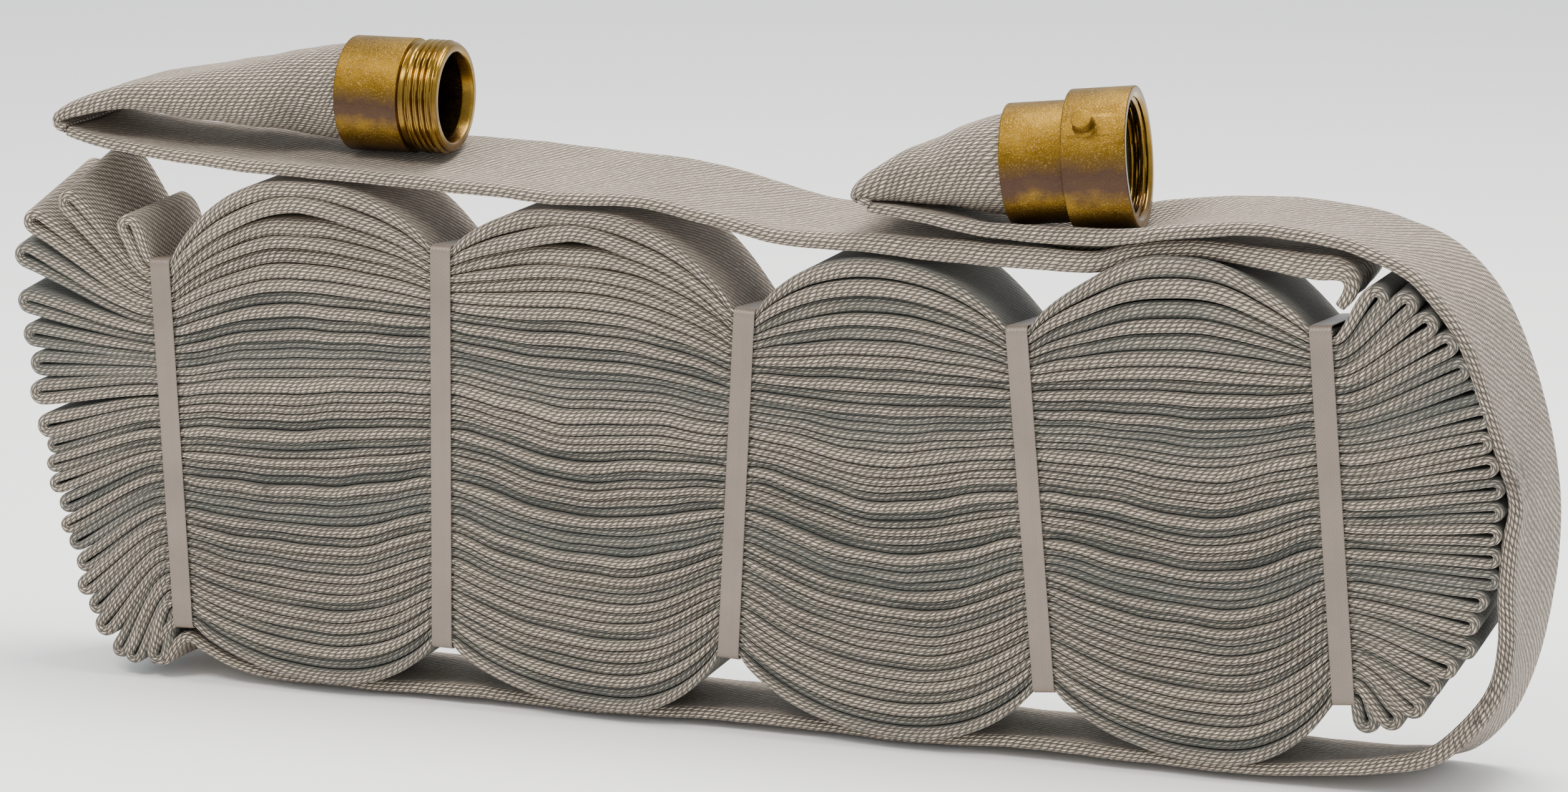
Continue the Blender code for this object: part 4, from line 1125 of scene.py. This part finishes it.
def brass_material(name, machined):
    """Brass: a grainy cast skin or bright turned metal, with painted dark reflection bands along its
    front and underside.
    """
    n = Finish(name)
    uv = n.uv()
    patches = n.noise(60.0, 5.0, 0.65)
    grain = n.noise(1500.0, 3.0, 0.6)
    # Painted reflection and shade: a dark band across the front and a wider one along the underside,
    # fixed by the angle round the axis.
    turn = n.plus(uv[0], n.times(n.math("SUBTRACT", patches, 0.5), 0.10))
    painted_reflection_bands = n.math("MAXIMUM", n.range(n.away(turn, 0.275), 0.066, 0.018),
                   n.range(n.away(turn, 0.52), 0.145, 0.075))
    tone = n.range(patches, 0.35, 0.65)
    if machined:
        gold = n.mix(tone, (0.17, 0.098, 0.012), (0.28, 0.170, 0.030))
        # The painted reflection bands darken the turned metal.
        colour = n.mix(n.times(painted_reflection_bands, 0.45), gold, (0.060, 0.032, 0.026))
        height = n.plus(n.times(n.sine(uv[1], 24000.0), 0.3), grain)
        roughness, normal = (0.16, 0.30), n.bump(height, 0.12, 0.0002)
    else:
        pits = n.noise(420.0, 4.0, 0.65)
        gold = n.mix(tone, (0.115, 0.062, 0.005), (0.20, 0.115, 0.013))
        gold = n.mix(n.times(n.range(grain, 0.54, 0.68), 0.5), gold, (0.46, 0.30, 0.13))
        gold = n.mix(n.range(pits, 0.60, 0.72, 0.0, 0.5), gold, (0.09, 0.048, 0.012))
        # The painted reflection bands darken the cast skin.
        colour = n.mix(n.times(painted_reflection_bands, 0.85), gold, (0.048, 0.029, 0.028))
        height = n.plus(grain, n.times(pits, 1.2))
        roughness, normal = (0.38, 0.52), n.bump(height, 0.45, 0.0004)
    return n.surface(Base_Color=colour, Metallic=1.0, Normal=normal,
                     Roughness=n.range(grain, 0.3, 0.7, *roughness))


def rubber_material(name, colour):
    n = Finish(name)
    dust = n.range(n.noise(90.0, 5.0, 0.7), 0.45, 0.75)
    paler = tuple(2.2 * c + 0.02 for c in colour)
    return n.surface(Base_Color=n.mix(n.times(dust, 0.6), colour, paler),
                     Roughness=n.range(dust, 0.0, 1.0, 0.48, 0.75),
                     Normal=n.bump(n.noise(900.0, 3.0), 0.3, 0.0002))


def metal_material(name, colour, dull, roughness):
    """Plain bright metal with faint scratches and dull patches."""
    n = Finish(name)
    patches = n.noise(120.0, 4.0, 0.6)
    return n.surface(Base_Color=n.mix(n.range(patches, 0.4, 0.7), colour, dull), Metallic=1.0,
                     Roughness=n.range(patches, 0.3, 0.7, roughness, roughness + 0.2),
                     Normal=n.bump(n.noise(2600.0, 2.0), 0.08, 0.0001))


def floor_material():
    return Finish("floor_paper").surface(Base_Color=(0.96, 0.96, 0.96, 1), Roughness=0.9)


def finish_cad_nodes():
    """The small parts inside the couplings keep their CAD shapes and take finished materials."""
    rubber = rubber_material("gasket_rubber_finish", (0.022, 0.021, 0.020))
    ring = metal_material("ring_brass_finish", (0.72, 0.50, 0.20), (0.40, 0.24, 0.08), 0.24)
    steel = metal_material("ball_steel_finish", (0.62, 0.62, 0.62), (0.36, 0.34, 0.32), 0.14)
    plug = metal_material("plug_brass_finish", (0.60, 0.38, 0.07), (0.30, 0.17, 0.04), 0.30)
    finishes = {"gasket": rubber, "expansion_ring": ring, "ball": steel, "plug": plug}
    for name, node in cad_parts.items():
        for key, material in finishes.items():
            if key in name:
                node.data.materials.clear()
                node.data.materials.append(material)


# ---------------------------------------------------------------- camera, light, floor

def make_camera():
    azimuth, elevation, distance = math.radians(18.5), math.radians(12.5), 2.0
    target = Vector((-0.0008, 0.0, 0.1465))
    away = Vector((math.sin(azimuth) * math.cos(elevation),
                   -math.cos(azimuth) * math.cos(elevation), math.sin(elevation)))
    data = bpy.data.cameras.new("camera")
    data.sensor_width = 36.0
    data.lens = 105.0
    data.clip_end = 20.0
    camera = add_object("camera", data)
    camera.location = target + away * distance
    camera.rotation_euler = (-away).to_track_quat("-Z", "Y").to_euler()
    bpy.context.scene.camera = camera


def area_light(name, place, aim, size, power, colour):
    data = bpy.data.lights.new(name, "AREA")
    data.shape = "RECTANGLE"
    data.size, data.size_y = size
    data.energy = power
    data.color = colour
    light = add_object(name, data)
    light.location = place
    light.rotation_euler = (Vector(aim) - Vector(place)).to_track_quat("-Z", "Y").to_euler()


def make_stage():
    mesh = bpy.data.meshes.new("floor")
    mesh.from_pydata([(-6, -6, 0), (6, -6, 0), (6, 6, 0), (-6, 6, 0)], [], [(0, 1, 2, 3)])
    floor = add_object("floor", mesh)
    mesh.materials.append(floor_material())
    world = bpy.data.worlds.new("studio")
    bpy.context.scene.world = world
    world.use_nodes = True
    background = world.node_tree.nodes["Background"]
    background.inputs[0].default_value = (0.95, 0.975, 1.0, 1)
    background.inputs[1].default_value = 1.15
    area_light("key", (-0.8, -1.3, 2.1), (0, 0, 0.12), (0.9, 0.7), 38, (1.0, 0.93, 0.86))
    area_light("top", (0.3, 0.3, 2.0), (0, 0, 0.1), (1.4, 0.9), 70, (1.0, 0.97, 0.93))


# ---------------------------------------------------------------- build

def main():
    make_camera()
    make_stage()
    folds = weave_material("woven_jacket_folds", True)
    open_weave = weave_material("woven_jacket_runs", False)
    liner = rubber_material("rubber_lining", (0.030, 0.028, 0.026))
    brass = [brass_material("cast_brass_skin", False), brass_material("turned_brass", True)]
    wrap, wrap_path, wrap_length = run_mesh("wrap_run", WRAP_STATIONS, open_weave, 5, 0.006,
                                            "hose_wrap_run")
    top, top_path, top_length = run_mesh("top_run", TOP_STATIONS, open_weave, 8, 0.0,
                                         "hose_top_run", TOP_CRESTS[3, 0])
    male = hose_end("male", MALE_STATIONS, MALE_REAR, MALE_AIM, open_weave, liner, MALE_DENTS, 1)
    female = hose_end("female", FEMALE_STATIONS, FEMALE_REAR, FEMALE_AIM, open_weave, liner,
                      FEMALE_DENTS, 2)
    male_coupling = male_body(brass)
    tail = tailpiece(brass)
    ring = swivel(brass)
    strap = strap_material()
    for number in range(5):
        strap_mesh(number, strap)
    fold_lengths = make_stack(folds, open_weave)
    finish_cad_nodes()


main()
